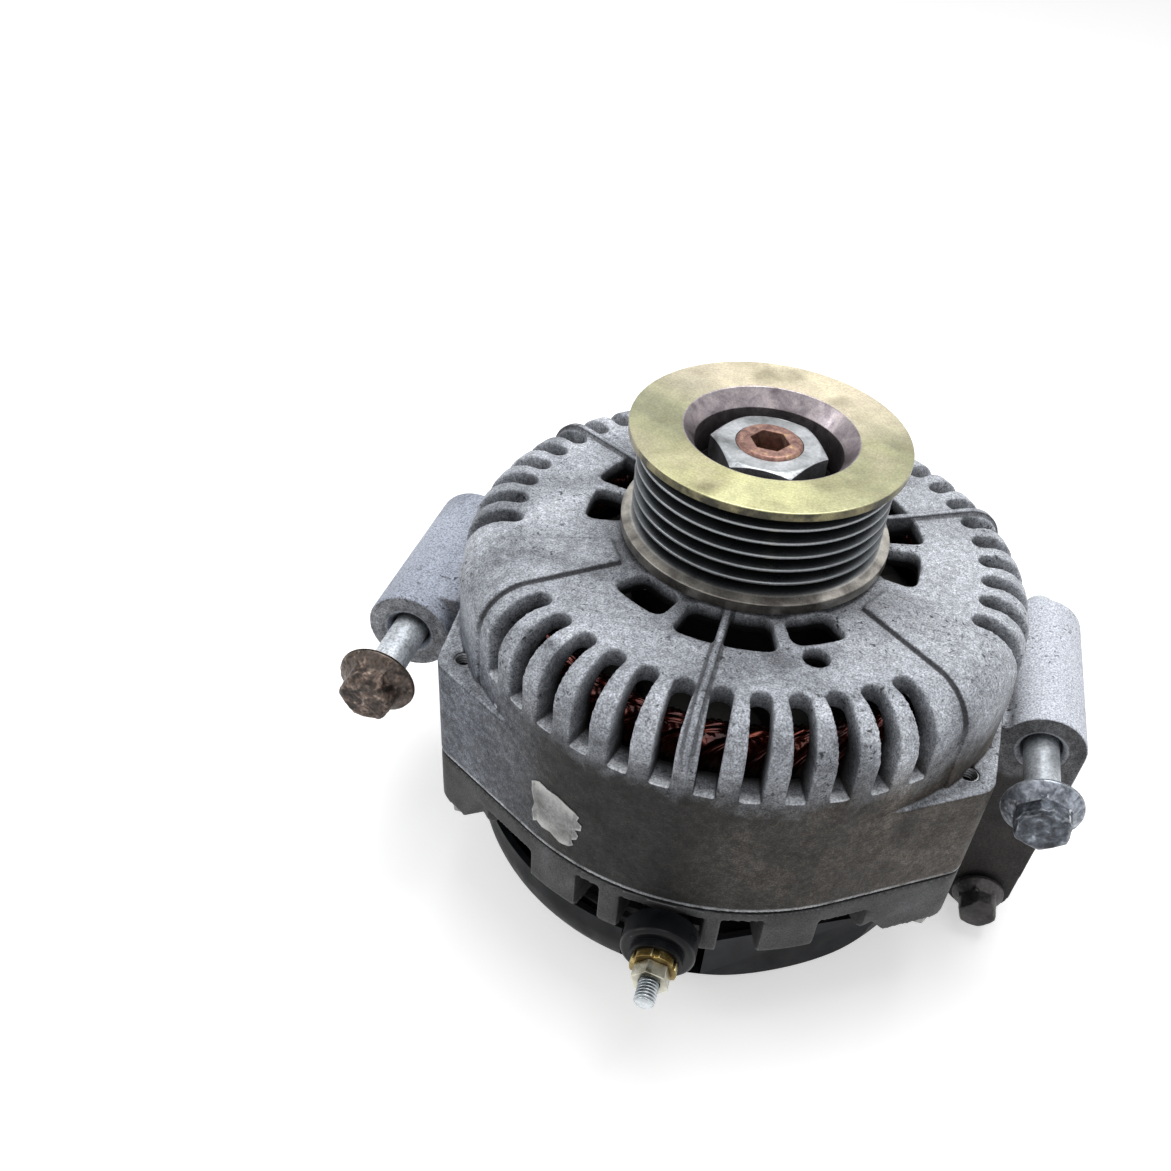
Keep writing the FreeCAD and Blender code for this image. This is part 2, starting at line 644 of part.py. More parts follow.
def slip_ring_end_frame():
    corner = REAR_CORNER_R
    bend = corner * math.sqrt(0.5)
    edges = [line(0, RIM_TOP_Z, BODY_R, RIM_TOP_Z),
             line(BODY_R, RIM_TOP_Z, BODY_R, REAR_WALL_Z + corner),
             Part.Arc(Vector(BODY_R, 0, REAR_WALL_Z + corner),
                      Vector(BODY_R - corner + bend, 0, REAR_WALL_Z + corner - bend),
                      Vector(BODY_R - corner, 0, REAR_WALL_Z)).toShape(),
             line(BODY_R - corner, REAR_WALL_Z, 0, REAR_WALL_Z),
             line(0, REAR_WALL_Z, 0, RIM_TOP_Z)]
    frame = spun_edges(edges)
    frame = frame.cut([disc(REAR_CHAMBER_R, REAR_WALL_TOP_Z, RIM_TOP_Z + 1),
                       disc(STATOR_OUT_R + SEAT_GAP, STATOR_Z[0], RIM_TOP_Z + 1)])
    frame = frame.cut(windows())
    rim = eared_outline(RIM_FOOT_Z, RIM_TOP_Z).cut(disc(STATOR_OUT_R + SEAT_GAP, 0, FACE_Z))
    standoffs = [rod(STANDOFF_R, Vector(x, REGULATOR_SCREW_Y, REGULATOR_Z[1]),
                     Vector(x, REGULATOR_SCREW_Y, REAR_WALL_TOP_Z))
                 for x in (-REGULATOR_SCREW_X, REGULATOR_SCREW_X)]
    hub = disc(REAR_HUB_R, REAR_HUB_FOOT_Z, REAR_BEARING_Z + REAR_BEARING[2] + HUB_OVER_BEARING)
    frame = frame.fuse([rim, hub] + standoffs + [rear_ear(a) for a in EAR_ANGLES])
    cuts = [disc(REAR_BEARING[1] + SEAT_GAP, REAR_BEARING_Z, RIM_TOP_Z),
            disc(REAR_BEARING[1] - BEARING_LIP, 0, RIM_TOP_Z)]
    for k in range(VENTS):
        middle = VENT_START + 360.0 / VENTS * k
        vent = sector(VENT_IN_R, VENT_OUT_R, middle - VENT_SPAN / 2, middle + VENT_SPAN / 2,
                      REAR_WALL_Z - 1, REAR_WALL_TOP_Z + 1)
        cuts.append(rounded(vent, VENT_CORNER_R))
    cuts += [post(THROUGH_HOLE_R, EAR_PITCH_R, a, 0, RIM_TOP_Z + 1) for a in EAR_ANGLES]
    cuts += [post(THROUGH_HEAD_AF / math.sqrt(3) + RUNNING_GAP, EAR_PITCH_R, a, 0, EAR_FOOT_Z)
             for a in EAR_ANGLES]
    cuts += [post(STUD_R + SEAT_GAP, STUD_PITCH_R, a, REAR_WALL_Z - 1, REAR_WALL_TOP_Z + 1)
             for a in stud_angles()]
    cuts += [rod(REGULATOR_SCREW_R + SEAT_GAP, Vector(x, REGULATOR_SCREW_Y, 0),
                 Vector(x, REGULATOR_SCREW_Y, REAR_WALL_TOP_Z - 0.5))
             for x in (-REGULATOR_SCREW_X, REGULATOR_SCREW_X)]
    return frame.cut(cuts).removeSplitter()


# Through-bolts, put in from the rear and threaded into the drive-end ears
def through_bolts():
    bolts = []
    for angle in EAR_ANGLES:
        head = hexagon(THROUGH_HEAD_AF, EAR_FOOT_Z - THROUGH_HEAD_H, EAR_FOOT_Z)
        head.translate(polar(EAR_PITCH_R, angle))
        shank = post(THROUGH_BOLT_R, EAR_PITCH_R, angle, EAR_FOOT_Z, LEDGE_Z - THROUGH_TIP_DEPTH)
        bolts.append(head.fuse(shank))
    return Part.makeCompound(bolts)


# Stator: the laminated core and its copper windings
def stator_core():
    core = ring(STATOR_OUT_R, STATOR_IN_R, STATOR_Z[0], STATOR_Z[1])
    slot = box(STATOR_IN_R - 2, STATOR_SLOT_OUT_R, -STATOR_SLOT_W / 2, STATOR_SLOT_W / 2,
               STATOR_Z[0] - 1, STATOR_Z[1] + 1)
    return core.cut([turned(slot, 360.0 / STATOR_SLOTS * k) for k in range(STATOR_SLOTS)])


def end_turns(z0, z1):
    inner, outer = WINDING_R
    soft = (outer - inner) / 3
    ring_shape = ring(outer, inner, z0, z1)
    far = z1 if z1 > STATOR_Z[1] else z0
    edges = [e for e in ring_shape.Edges if len(e.Vertexes) == 1 and abs(e.Vertexes[0].Point.z - far) < 0.001]
    return ring_shape.makeFillet(soft, edges)


def stator_windings():
    legs = box(WINDING_R[0], STATOR_SLOT_OUT_R - RUNNING_GAP, -STATOR_SLOT_W / 2 + RUNNING_GAP,
               STATOR_SLOT_W / 2 - RUNNING_GAP, STATOR_Z[0] - 1, STATOR_Z[1] + 1)
    top = end_turns(STATOR_Z[1] + RUNNING_GAP, WINDING_TOP_Z)
    low = end_turns(WINDING_FOOT_Z, STATOR_Z[0] - RUNNING_GAP)
    return top.fuse([low] + [turned(legs, 360.0 / STATOR_SLOTS * k) for k in range(STATOR_SLOTS)])


# Ball bearings
def race_groove(bearing, z):
    bore, outer, width, ball, count = bearing
    return Part.makeTorus((bore + outer) / 2, ball + RUNNING_GAP, Vector(0, 0, z + width / 2), UP)


def inner_race(bearing, z):
    bore, outer, width, ball, count = bearing
    land = (bore + outer) / 2 - ball * RACE_LAND
    return ring(land, bore + SEAT_GAP, z, z + width).cut(race_groove(bearing, z))


def outer_race(bearing, z):
    bore, outer, width, ball, count = bearing
    land = (bore + outer) / 2 + ball * RACE_LAND
    return ring(outer, land, z, z + width).cut(race_groove(bearing, z))


def ball_set(bearing, z):
    bore, outer, width, ball, count = bearing
    pitch = (bore + outer) / 2
    middle = z + width / 2
    centres = [polar(pitch, 360.0 / count * k, middle) for k in range(count)]
    balls = [Part.makeSphere(ball, c) for c in centres]
    reach = ball * CAGE_REACH
    cage = ring(pitch + CAGE_HALF_T, pitch - CAGE_HALF_T, middle - reach, middle + reach)
    pocket = ball + SLIDE_GAP
    cage = cage.cut([rod(pocket, polar(pitch - ball, 360.0 / count * k, middle),
                         polar(pitch + ball, 360.0 / count * k, middle)) for k in range(count)])
    return Part.makeCompound(balls + [cage])


def screw_angles():
    step = 360.0 / RETAINER_SCREWS
    return [step / 2 + step * k for k in range(RETAINER_SCREWS)]


def bearing_retainer():
    top = FRONT_BEARING_Z
    plate = ring(FRONT_HUB_R - RETAINER_EDGE, RETAINER_IN_R, top - RETAINER_T, top)
    return plate.cut([post(RETAINER_SCREW_R + SLIDE_GAP, RETAINER_PITCH_R, a, 0, FACE_Z)
                      for a in screw_angles()])


def retainer_screws():
    under = FRONT_BEARING_Z - RETAINER_T
    screws = []
    for a in screw_angles():
        head = post(RETAINER_HEAD_R, RETAINER_PITCH_R, a, under - RETAINER_HEAD_T, under)
        shank = post(RETAINER_SCREW_R, RETAINER_PITCH_R, a, under, FRONT_BEARING_Z + RETAINER_SCREW_L)
        screws.append(head.fuse(shank))
    return Part.makeCompound(screws)


# Rotor
def rotor_shaft():
    tail = REAR_BEARING_Z - SHAFT_SHOULDER
    core = REAR_BEARING_Z + REAR_BEARING[2]
    thread = PULLEY_TOP_Z - RECESS_DEPTH - SHAFT_RELIEF
    points = [(0, SHAFT_FOOT_Z), (SHAFT_END_R, SHAFT_FOOT_Z), (SHAFT_END_R, tail), (SHAFT_TAIL_R, tail),
              (SHAFT_TAIL_R, core), (SHAFT_CORE_R, core), (SHAFT_CORE_R, FRONT_BEARING_Z),
              (SHAFT_R, FRONT_BEARING_Z), (SHAFT_R, thread), (SHAFT_THREAD_R, thread),
              (SHAFT_THREAD_R, SHAFT_TOP_Z - SHAFT_CHAMFER), (SHAFT_THREAD_R - SHAFT_CHAMFER, SHAFT_TOP_Z),
              (0, SHAFT_TOP_Z)]
    shaft = spun(points)
    socket = hexagon(SHAFT_SOCKET_AF, SHAFT_TOP_Z - SHAFT_SOCKET_DEPTH, SHAFT_TOP_Z + 1)
    return shaft.cut(socket)


def groove_points():
    points = []
    for k in range(GROOVES):
        middle = PULLEY_TOP_Z - FIRST_GROOVE - GROOVE_STEP * k
        if k:
            points.append((CREST_R, middle + GROOVE_STEP / 2 - CREST_HALF))
        points.append((ROOT_R, middle + ROOT_HALF))
        points.append((ROOT_R, middle - ROOT_HALF))
        if k < GROOVES - 1:
            points.append((CREST_R, middle - GROOVE_STEP / 2 + CREST_HALF))
    return points


def pulley():
    slope = (GROOVE_STEP / 2 - CREST_HALF - ROOT_HALF) / (CREST_R - ROOT_R)
    climb = (FLANGE_R - ROOT_R) * slope
    foot = PULLEY_TOP_Z - PULLEY_LENGTH
    first = PULLEY_TOP_Z - FIRST_GROOVE + ROOT_HALF + climb
    last = PULLEY_TOP_Z - FIRST_GROOVE - GROOVE_STEP * (GROOVES - 1) - ROOT_HALF - climb
    floor = PULLEY_TOP_Z - RECESS_DEPTH
    bore = SHAFT_R + SEAT_GAP
    back = foot + PULLEY_BACK_DEPTH
    points = [(bore, floor), (RECESS_FLOOR_R, floor), (RECESS_FLOOR_R, PULLEY_TOP_Z - RECESS_CONE),
              (RECESS_R, PULLEY_TOP_Z), (FLANGE_R, PULLEY_TOP_Z), (FLANGE_R, first)]
    points += groove_points()
    points += [(FLANGE_R, last), (FLANGE_R, foot), (PULLEY_BACK_R, foot), (PULLEY_BACK_R, back),
               (PULLEY_HUB_R, back), (PULLEY_HUB_R, foot), (bore, foot)]
    return spun(points)


def pulley_nut():
    foot = PULLEY_TOP_Z - RECESS_DEPTH
    wide = NUT_AF / math.sqrt(3) + NUT_H
    narrow = NUT_AF / 2 - NUT_CROWN_STEP
    climb = (wide - narrow) * NUT_CROWN_SLOPE
    nut = hexagon(NUT_AF, foot, foot + NUT_H)
    cone = Part.makeCone(wide, narrow, climb, Vector(0, 0, foot + NUT_H - climb), UP)
    nut = nut.common(cone.fuse(disc(wide, foot - 1, foot + NUT_H / 2)))
    return nut.cut(disc(SHAFT_THREAD_R + SEAT_GAP, foot - 1, foot + NUT_H + 1))


def shaft_collar():
    top = PULLEY_TOP_Z - PULLEY_LENGTH
    return ring(COLLAR_R, SHAFT_R + SEAT_GAP, FRONT_BEARING_Z + FRONT_BEARING[2], top)


def claw_pole(upward):
    middle = (POLE_FOOT_Z + POLE_TOP_Z) / 2
    foot = POLE_FOOT_Z
    disc_top = foot + POLE_DISC_T
    tip = POLE_TOP_Z - CLAW_TIP_GAP
    pole = disc(POLE_DISC_R, foot, disc_top).fuse(disc(POLE_CORE_R, foot, middle))
    plan = [Vector(0, -CLAW_ROOT_W / 2, foot), Vector(0, CLAW_ROOT_W / 2, foot),
            Vector(0, CLAW_ROOT_W / 2, disc_top), Vector(0, CLAW_TIP_W / 2, tip),
            Vector(0, -CLAW_TIP_W / 2, tip), Vector(0, -CLAW_ROOT_W / 2, disc_top)]
    blade = Part.Face(Part.makePolygon(plan + plan[:1])).extrude(Vector(POLE_R * 1.2, 0, 0))
    section = spun([(POLE_DISC_R - CLAW_LAP, foot), (POLE_R, foot), (POLE_R, tip), (CLAW_TIP_IN_R, tip),
                    (CLAW_ROOT_IN_R, disc_top), (POLE_DISC_R - CLAW_LAP, disc_top)])
    claw = blade.common(section)
    pole = pole.fuse([turned(claw, 360.0 / CLAWS * k) for k in range(CLAWS)])
    pole = pole.cut(disc(SHAFT_CORE_R + SEAT_GAP, 0, FACE_Z)).removeSplitter()
    if upward:
        return pole
    flipped = pole.mirror(Vector(0, 0, middle), UP)
    return turned(flipped, 180.0 / CLAWS)


def field_bobbin():
    z0 = POLE_FOOT_Z + POLE_DISC_T
    z1 = POLE_TOP_Z - POLE_DISC_T
    inner = POLE_CORE_R + SLIDE_GAP
    return spun([(inner, z0), (POLE_DISC_R - BOBBIN_LIP, z0), (POLE_DISC_R - BOBBIN_LIP, z0 + BOBBIN_T),
                 (inner + BOBBIN_T, z0 + BOBBIN_T), (inner + BOBBIN_T, z1 - BOBBIN_T),
                 (POLE_DISC_R - BOBBIN_LIP, z1 - BOBBIN_T), (POLE_DISC_R - BOBBIN_LIP, z1), (inner, z1)])


def field_coil():
    z0 = POLE_FOOT_Z + POLE_DISC_T + BOBBIN_T
    z1 = POLE_TOP_Z - POLE_DISC_T - BOBBIN_T
    return ring(COIL_R, POLE_CORE_R + SLIDE_GAP + BOBBIN_T + SEAT_GAP, z0, z1)


def fan(outer, inner, z, height, upward):
    z0 = z if upward else z - FAN_T
    plate = ring(outer, SHAFT_CORE_R + SEAT_GAP, z0, z0 + FAN_T)
    low = z0 + FAN_T if upward else z - FAN_T - height
    reach = outer - inner
    blade = Part.makeBox(reach, BLADE_T, height, Vector(0, -BLADE_T / 2, low))
    blade.rotate(ORIGIN, UP, BLADE_LEAN)
    blade.translate(Vector(inner, 0, 0))
    blade = blade.common(disc(outer, low - 1, low + height + 1))
    return plate.fuse([turned(blade, 360.0 / FAN_BLADES * k) for k in range(FAN_BLADES)])


def slip_rings():
    return Part.makeCompound([ring(SLIP_RING_R, SLIP_INSULATOR_R, z, z + SLIP_RING_H)
                              for z in (LOWER_RING_Z, UPPER_RING_Z)])


def slip_ring_insulator():
    return ring(SLIP_INSULATOR_R, SHAFT_END_R, LOWER_RING_Z - 1, REAR_BEARING_Z - SHAFT_SHOULDER)


# Brushes in their holder, pressed on the slip rings by coil springs
def brush(ring_z):
    z = ring_z + SLIP_RING_H / 2
    face = SLIP_RING_R + RUNNING_GAP
    block = box(-BRUSH_W / 2, BRUSH_W / 2, face - 1, face + BRUSH_L, z - BRUSH_H / 2, z + BRUSH_H / 2)
    return block.cut(disc(face, z - BRUSH_H, z + BRUSH_H))


def brush_spring(ring_z):
    z = ring_z + SLIP_RING_H / 2
    start = SLIP_RING_R + RUNNING_GAP + BRUSH_L + SPRING_WIRE_R + SLIDE_GAP
    end = HOLDER_Y[1] - HOLDER_BACK_T - SPRING_WIRE_R - SLIDE_GAP
    helix = Part.makeHelix((end - start) / SPRING_TURNS, end - start, SPRING_R)
    wire = Part.Wire(helix.Edges)
    section = Part.Wire([Part.Circle(Vector(SPRING_R, 0, 0), Vector(0, 1, 0), SPRING_WIRE_R).toShape()])
    spring = wire.makePipeShell([section], True, False)
    spring.rotate(ORIGIN, Vector(1, 0, 0), -90)
    spring.translate(Vector(0, start, z))
    return spring


def brush_holder():
    body = box(-HOLDER_HALF_X, HOLDER_HALF_X, HOLDER_Y[0], HOLDER_Y[1], HOLDER_Z[0], HOLDER_Z[1])
    body = rounded(body, HOLDER_CORNER_R)
    cuts = []
    for ring_z in (LOWER_RING_Z, UPPER_RING_Z):
        z = ring_z + SLIP_RING_H / 2
        half_w = BRUSH_W / 2 + SLIDE_GAP
        half_h = BRUSH_H / 2 + SLIDE_GAP
        back = HOLDER_Y[1] - HOLDER_BACK_T
        cuts.append(box(-half_w, half_w, HOLDER_Y[0] - 1, back, z - half_h, z + half_h))
    return body.cut(cuts)


# Rectifier
def stud_angles():
    return [FRONT_SECTOR + offset for offset in STUD_OFFSETS]


def crescent(z0, z1):
    start = FRONT_SECTOR - PLATE_HALF_SPAN
    plate = sector(PLATE_R[0], PLATE_R[1], start, start + 2 * PLATE_HALF_SPAN, z0, z1)
    return rounded(plate, PLATE_CORNER_R)


def heat_sink(z0, z1):
    holes = [post(DIODE_R + SEAT_GAP, DIODE_PITCH_R, FRONT_SECTOR + o, z0 - 1, z1 + 1) for o in DIODE_OFFSETS]
    holes += [post(STUD_R + SLIDE_GAP, STUD_PITCH_R, a, z0 - 1, z1 + 1) for a in stud_angles()]
    return crescent(z0, z1).cut(holes)


def diodes(z0, z1, lead_z):
    cans = []
    for offset in DIODE_OFFSETS:
        angle = FRONT_SECTOR + offset
        can = post(DIODE_R, DIODE_PITCH_R, angle, z0, z1)
        pitch = DIODE_PITCH_R + (DIODE_LEAD_STEP if lead_z > z1 else -DIODE_LEAD_STEP)
        lead = post(DIODE_LEAD_R, pitch, angle, min(z0, lead_z), max(z1, lead_z))
        cans.append(can.fuse(lead))
    return Part.makeCompound(cans)


def terminal_board():
    z0, z1 = BOARD_Z
    holes = [post(DIODE_LEAD_R + SLIDE_GAP, DIODE_PITCH_R + side, FRONT_SECTOR + o, z0 - 1, z1 + 1)
             for o in DIODE_OFFSETS for side in (-DIODE_LEAD_STEP, DIODE_LEAD_STEP)]
    holes += [post(BUSH_R + SLIDE_GAP, STUD_PITCH_R, a, z0 - 1, z1 + 1) for a in stud_angles()]
    return crescent(z0, z1).cut(holes)


def rectifier_bushes():
    bushes = []
    for a in stud_angles():
        bush = post(BUSH_R, STUD_PITCH_R, a, POSITIVE_Z + PLATE_T, NEGATIVE_Z)
        bushes.append(bush.cut(post(STUD_R + SEAT_GAP, STUD_PITCH_R, a, 0, FACE_Z)))
    return Part.makeCompound(bushes)


def cover_studs():
    return Part.makeCompound([post(STUD_R, STUD_PITCH_R, a, STUD_FOOT_Z, REAR_WALL_TOP_Z)
                              for a in stud_angles()])


def small_nuts(top):
    nuts = []
    for angle in stud_angles():
        nut = hexagon(NUT_SMALL_AF, top - NUT_SMALL_H, top)
        nut.translate(polar(STUD_PITCH_R, angle))
        nuts.append(nut.cut(post(STUD_R + SEAT_GAP, STUD_PITCH_R, angle, 0, FACE_Z)))
    return Part.makeCompound(nuts)


# Regulator with cooling fins, and the connector that it feeds
def voltage_regulator():
    body = box(-REGULATOR_X, REGULATOR_X, REGULATOR_Y[0], REGULATOR_Y[1], REGULATOR_Z[0], REGULATOR_Z[1])
    body = rounded(body, REGULATOR_CORNER_R)
    side = REGULATOR_SCREW_X - FIN_SIDE
    start = REGULATOR_Y[0] + FIN_EDGE
    step = (REGULATOR_Y[1] - FIN_EDGE - FIN_T - start) / (FINS - 1)
    foot = REGULATOR_Z[0]
    fins = [box(-side, side, start + step * k, start + step * k + FIN_T, foot - FIN_H, foot)
            for k in range(FINS)]
    holes = [rod(REGULATOR_SCREW_R + SLIDE_GAP, Vector(x, REGULATOR_SCREW_Y, 0),
                 Vector(x, REGULATOR_SCREW_Y, FACE_Z)) for x in (-REGULATOR_SCREW_X, REGULATOR_SCREW_X)]
    return body.fuse(fins).cut(holes)


def regulator_screws():
    screws = []
    for x in (-REGULATOR_SCREW_X, REGULATOR_SCREW_X):
        head = rod(REGULATOR_HEAD_R, Vector(x, REGULATOR_SCREW_Y, REGULATOR_Z[0] - REGULATOR_HEAD_T),
                   Vector(x, REGULATOR_SCREW_Y, REGULATOR_Z[0]))
        shank = rod(REGULATOR_SCREW_R, Vector(x, REGULATOR_SCREW_Y, REGULATOR_Z[0]),
                    Vector(x, REGULATOR_SCREW_Y, REAR_WALL_TOP_Z - 1))
        screws.append(head.fuse(shank))
    return Part.makeCompound(screws)


def connector_socket():
    shell = box(-SOCKET_X, SOCKET_X, SOCKET_Y[0], SOCKET_Y[1], SOCKET_Z[0], SOCKET_Z[1])
    along = [e for e in shell.Edges if abs(e.Vertexes[0].Point.y - e.Vertexes[-1].Point.y) > 1]
    shell = shell.makeFillet(SOCKET_CORNER_R, along)
    hollow = box(-SOCKET_X + SOCKET_WALL, SOCKET_X - SOCKET_WALL, SOCKET_Y[0] + SOCKET_FLOOR, SOCKET_Y[1] + 1,
                 SOCKET_Z[0] + SOCKET_WALL, SOCKET_Z[1] - SOCKET_WALL)
    latch = box(-LATCH_HALF, LATCH_HALF, SOCKET_Y[1] - LATCH_BACK - LATCH_L, SOCKET_Y[1] - LATCH_BACK,
                SOCKET_Z[0] - LATCH_H, SOCKET_Z[0])
    return shell.cut(hollow).fuse(latch).cut(pin_blocks(SLIDE_GAP))


def pin_blocks(grow):
    z = (SOCKET_Z[0] + SOCKET_Z[1]) / 2
    wide = PIN_W / 2 + grow
    thick = PIN_T / 2 + grow
    tip = SOCKET_Y[0] + SOCKET_FLOOR + PIN_L
    return [box(x - wide, x + wide, SOCKET_Y[0] - grow, tip, z - thick, z + thick)
            for x in (-PIN_STEP, 0.0, PIN_STEP)]


# Output terminal
def b_plus_stud():
    head = hexagon(NUT_SMALL_AF, B_PLUS_HEAD_R[0], B_PLUS_HEAD_R[1])
    end = B_PLUS_TIP_R - B_PLUS_CHAMFER
    shank = disc(B_PLUS_STUD_R, B_PLUS_HEAD_R[1], end)
    tip = Part.makeCone(B_PLUS_STUD_R, B_PLUS_STUD_R - B_PLUS_CHAMFER, B_PLUS_CHAMFER, Vector(0, 0, end), UP)
    return radial(head.fuse([shank, tip]), B_PLUS_ANGLE, B_PLUS_Z)


def b_plus_bar(grow=0.0):
    outer = B_PLUS_HEAD_R[1] + BAR_T
    foot = POSITIVE_Z - BAR_T
    flat = box(BAR_IN_R, outer + grow, -BAR_W / 2 - grow, BAR_W / 2 + grow, foot - grow, POSITIVE_Z)
    up = box(B_PLUS_HEAD_R[1] - grow, outer + grow, -BAR_W / 2 - grow, BAR_W / 2 + grow, foot,
             B_PLUS_Z + BAR_OVER_STUD + grow)
    hole = rod(B_PLUS_STUD_R + SEAT_GAP, Vector(0, 0, B_PLUS_Z), Vector(BODY_R * 2, 0, B_PLUS_Z))
    bar = flat.fuse(up)
    if grow == 0.0:
        bar = bar.cut(hole)
    return turned(bar, B_PLUS_ANGLE)


def b_plus_insulator():
    neck_in, neck_out, collar_out, hood_out = B_PLUS_STEPS
    neck = disc(B_PLUS_NECK_R, B_PLUS_HEAD_R[1], neck_out)
    collar = disc(B_PLUS_COLLAR_R, neck_out, collar_out)
    rim = [e for e in collar.Edges
           if len(e.Vertexes) == 1 and abs(e.Vertexes[0].Point.z - collar_out) < 0.001]
    collar = collar.makeFillet(B_PLUS_EDGE_R, rim)
    hood = disc(B_PLUS_HOOD_R, collar_out, hood_out)
    boss = radial(neck.fuse([collar, hood]), B_PLUS_ANGLE, B_PLUS_Z)
    side = BAR_W / 2 + BOSS_WALL
    leg = box(B_PLUS_HEAD_R[1] - BOSS_WALL, neck_in + BOSS_WALL, -side, side, LEG_FOOT_Z, B_PLUS_Z)
    body = boss.fuse(turned(leg, B_PLUS_ANGLE))
    bore = radial(disc(B_PLUS_STUD_R + SEAT_GAP, 0, B_PLUS_TIP_R), B_PLUS_ANGLE, B_PLUS_Z)
    head = radial(disc(NUT_SMALL_AF / math.sqrt(3) + SLIDE_GAP, 0, B_PLUS_HEAD_R[1]), B_PLUS_ANGLE, B_PLUS_Z)
    return body.cut([bore, head, b_plus_bar(SLIDE_GAP)])


def b_plus_flange_nut():
    start = B_PLUS_STEPS[3]
    body = disc(FLANGE_NUT_R, start, start + FLANGE_NUT_T)
    centre = Vector(FLANGE_NUT_R + LOBE_NOTCH_R / 3, 0, start - 1)
    notch = Part.makeCylinder(LOBE_NOTCH_R, FLANGE_NUT_T + 2, centre, UP)
    body = body.cut([turned(notch, 360.0 / NUT_LOBES * k) for k in range(NUT_LOBES)])
    body = body.cut(disc(B_PLUS_STUD_R + SEAT_GAP, start - 1, start + FLANGE_NUT_T + 1))
    return radial(body, B_PLUS_ANGLE, B_PLUS_Z)


def b_plus_hex_nut():
    start = B_PLUS_STEPS[3] + FLANGE_NUT_T
    nut = hexagon(NUT_SMALL_AF, start, start + HEX_NUT_T, HEX_NUT_TURN)
    nut = nut.cut(disc(B_PLUS_STUD_R + SEAT_GAP, start - 1, start + HEX_NUT_T + 1))
    return radial(nut, B_PLUS_ANGLE, B_PLUS_Z)


# Rear cover: a moulded bowl with wells for its nuts, notches and air slots
def bowl(radius, corner, foot, top):
    bend = corner * math.sqrt(0.5)
    edges = [line(0, foot, radius - corner, foot),
             Part.Arc(Vector(radius - corner, 0, foot),
                      Vector(radius - corner + bend, 0, foot + corner - bend),
                      Vector(radius, 0, foot + corner)).toShape(),
             line(radius, foot + corner, radius, top),
             line(radius, top, 0, top),
             line(0, top, 0, foot)]
    return spun_edges(edges)


def flattened(shape, distance):
    side = box(distance, COVER_R * 2, -COVER_R, COVER_R, -1, COVER_TOP_Z + 5)
    return shape.cut(turned(side, FLAT_ANGLE))


def rear_cover():
    solid = flattened(bowl(COVER_R, COVER_ROUND, 0, COVER_TOP_Z), FLAT_R)
    hollow = bowl(COVER_R - COVER_WALL, COVER_ROUND - COVER_WALL, COVER_WALL, COVER_TOP_Z + 1)
    hollow = flattened(hollow, FLAT_R - COVER_WALL)
    wells = [post(WELL_R + COVER_WALL, STUD_PITCH_R, a, 0, WELL_FLOOR_Z + COVER_WALL).common(solid)
             for a in stud_angles()]
    cover = solid.cut(hollow).fuse(wells)
    cuts = [post(WELL_R, STUD_PITCH_R, a, -1, WELL_FLOOR_Z) for a in stud_angles()]
    cuts += [post(STUD_R + SLIDE_GAP, STUD_PITCH_R, a, -1, COVER_TOP_Z) for a in stud_angles()]
    terminal = box(COVER_R - NOTCH_DEPTH, COVER_R * 2, -NOTCH_HALF, NOTCH_HALF, NOTCH_FOOT_Z, COVER_TOP_Z + 1)
    cuts.append(turned(terminal, B_PLUS_ANGLE))
    side = SOCKET_X + RUNNING_GAP
    cuts.append(box(-side, side, SOCKET_Y[0] - SOCKET_NOTCH, COVER_R * 2, SOCKET_Z[0] - RUNNING_GAP,
                    COVER_TOP_Z + 1))
    slot = box(COVER_SLOT_R[0], COVER_SLOT_R[1], -COVER_SLOT_W / 2, COVER_SLOT_W / 2, -1, COVER_WALL + 1)
    cuts += [turned(slot, 360.0 / COVER_SLOTS * k) for k in range(COVER_SLOTS)]
    return cover.cut(cuts).removeSplitter()


# Mounting bolts, with a flange under the head
def flange_bolt(sizes, length, thread, hex_turn):
    shank_r, thread_r, flange_r, across, hex_h, nose_r, nose_l = sizes
    head = hexagon(across, -FLANGE_T - hex_h, -FLANGE_T, hex_turn)
    wide = across / math.sqrt(3) + CROWN_OUT
    narrow = across / 2 - CROWN_STEP
    climb = (wide - narrow) * CROWN_SLOPE
    crown = Part.makeCone(narrow, wide, climb, Vector(0, 0, -FLANGE_T - hex_h), UP)
    low = disc(wide, -FLANGE_T - hex_h + climb, 1)
    head = head.common(crown.fuse(low))
    flange = Part.makeCone(flange_r, across / 2, FLANGE_T + FLANGE_EDGE, Vector(0, 0, -FLANGE_EDGE),
                           Vector(0, 0, -1))
    plate = disc(flange_r, -FLANGE_EDGE, 0)
    shank = disc(shank_r, 0, length - thread)
    step = thread_r - nose_r
    threaded = disc(thread_r, length - thread, length - nose_l - step)
    lead = Part.makeCone(thread_r, nose_r, step, Vector(0, 0, length - nose_l - step), UP)
    nose = disc(nose_r, length - nose_l, length - NOSE_CHAMFER)
    tip = Part.makeCone(nose_r, nose_r - NOSE_CHAMFER, NOSE_CHAMFER, Vector(0, 0, length - NOSE_CHAMFER), UP)
    return head.fuse([flange, plate, shank, threaded, lead, nose, tip]).removeSplitter()


def placed_bolt(bolt, x, seat_y, z):
    copy = bolt.copy()
    copy.rotate(ORIGIN, Vector(1, 0, 0), -90)
    copy.translate(Vector(x, seat_y, z))
    return copy


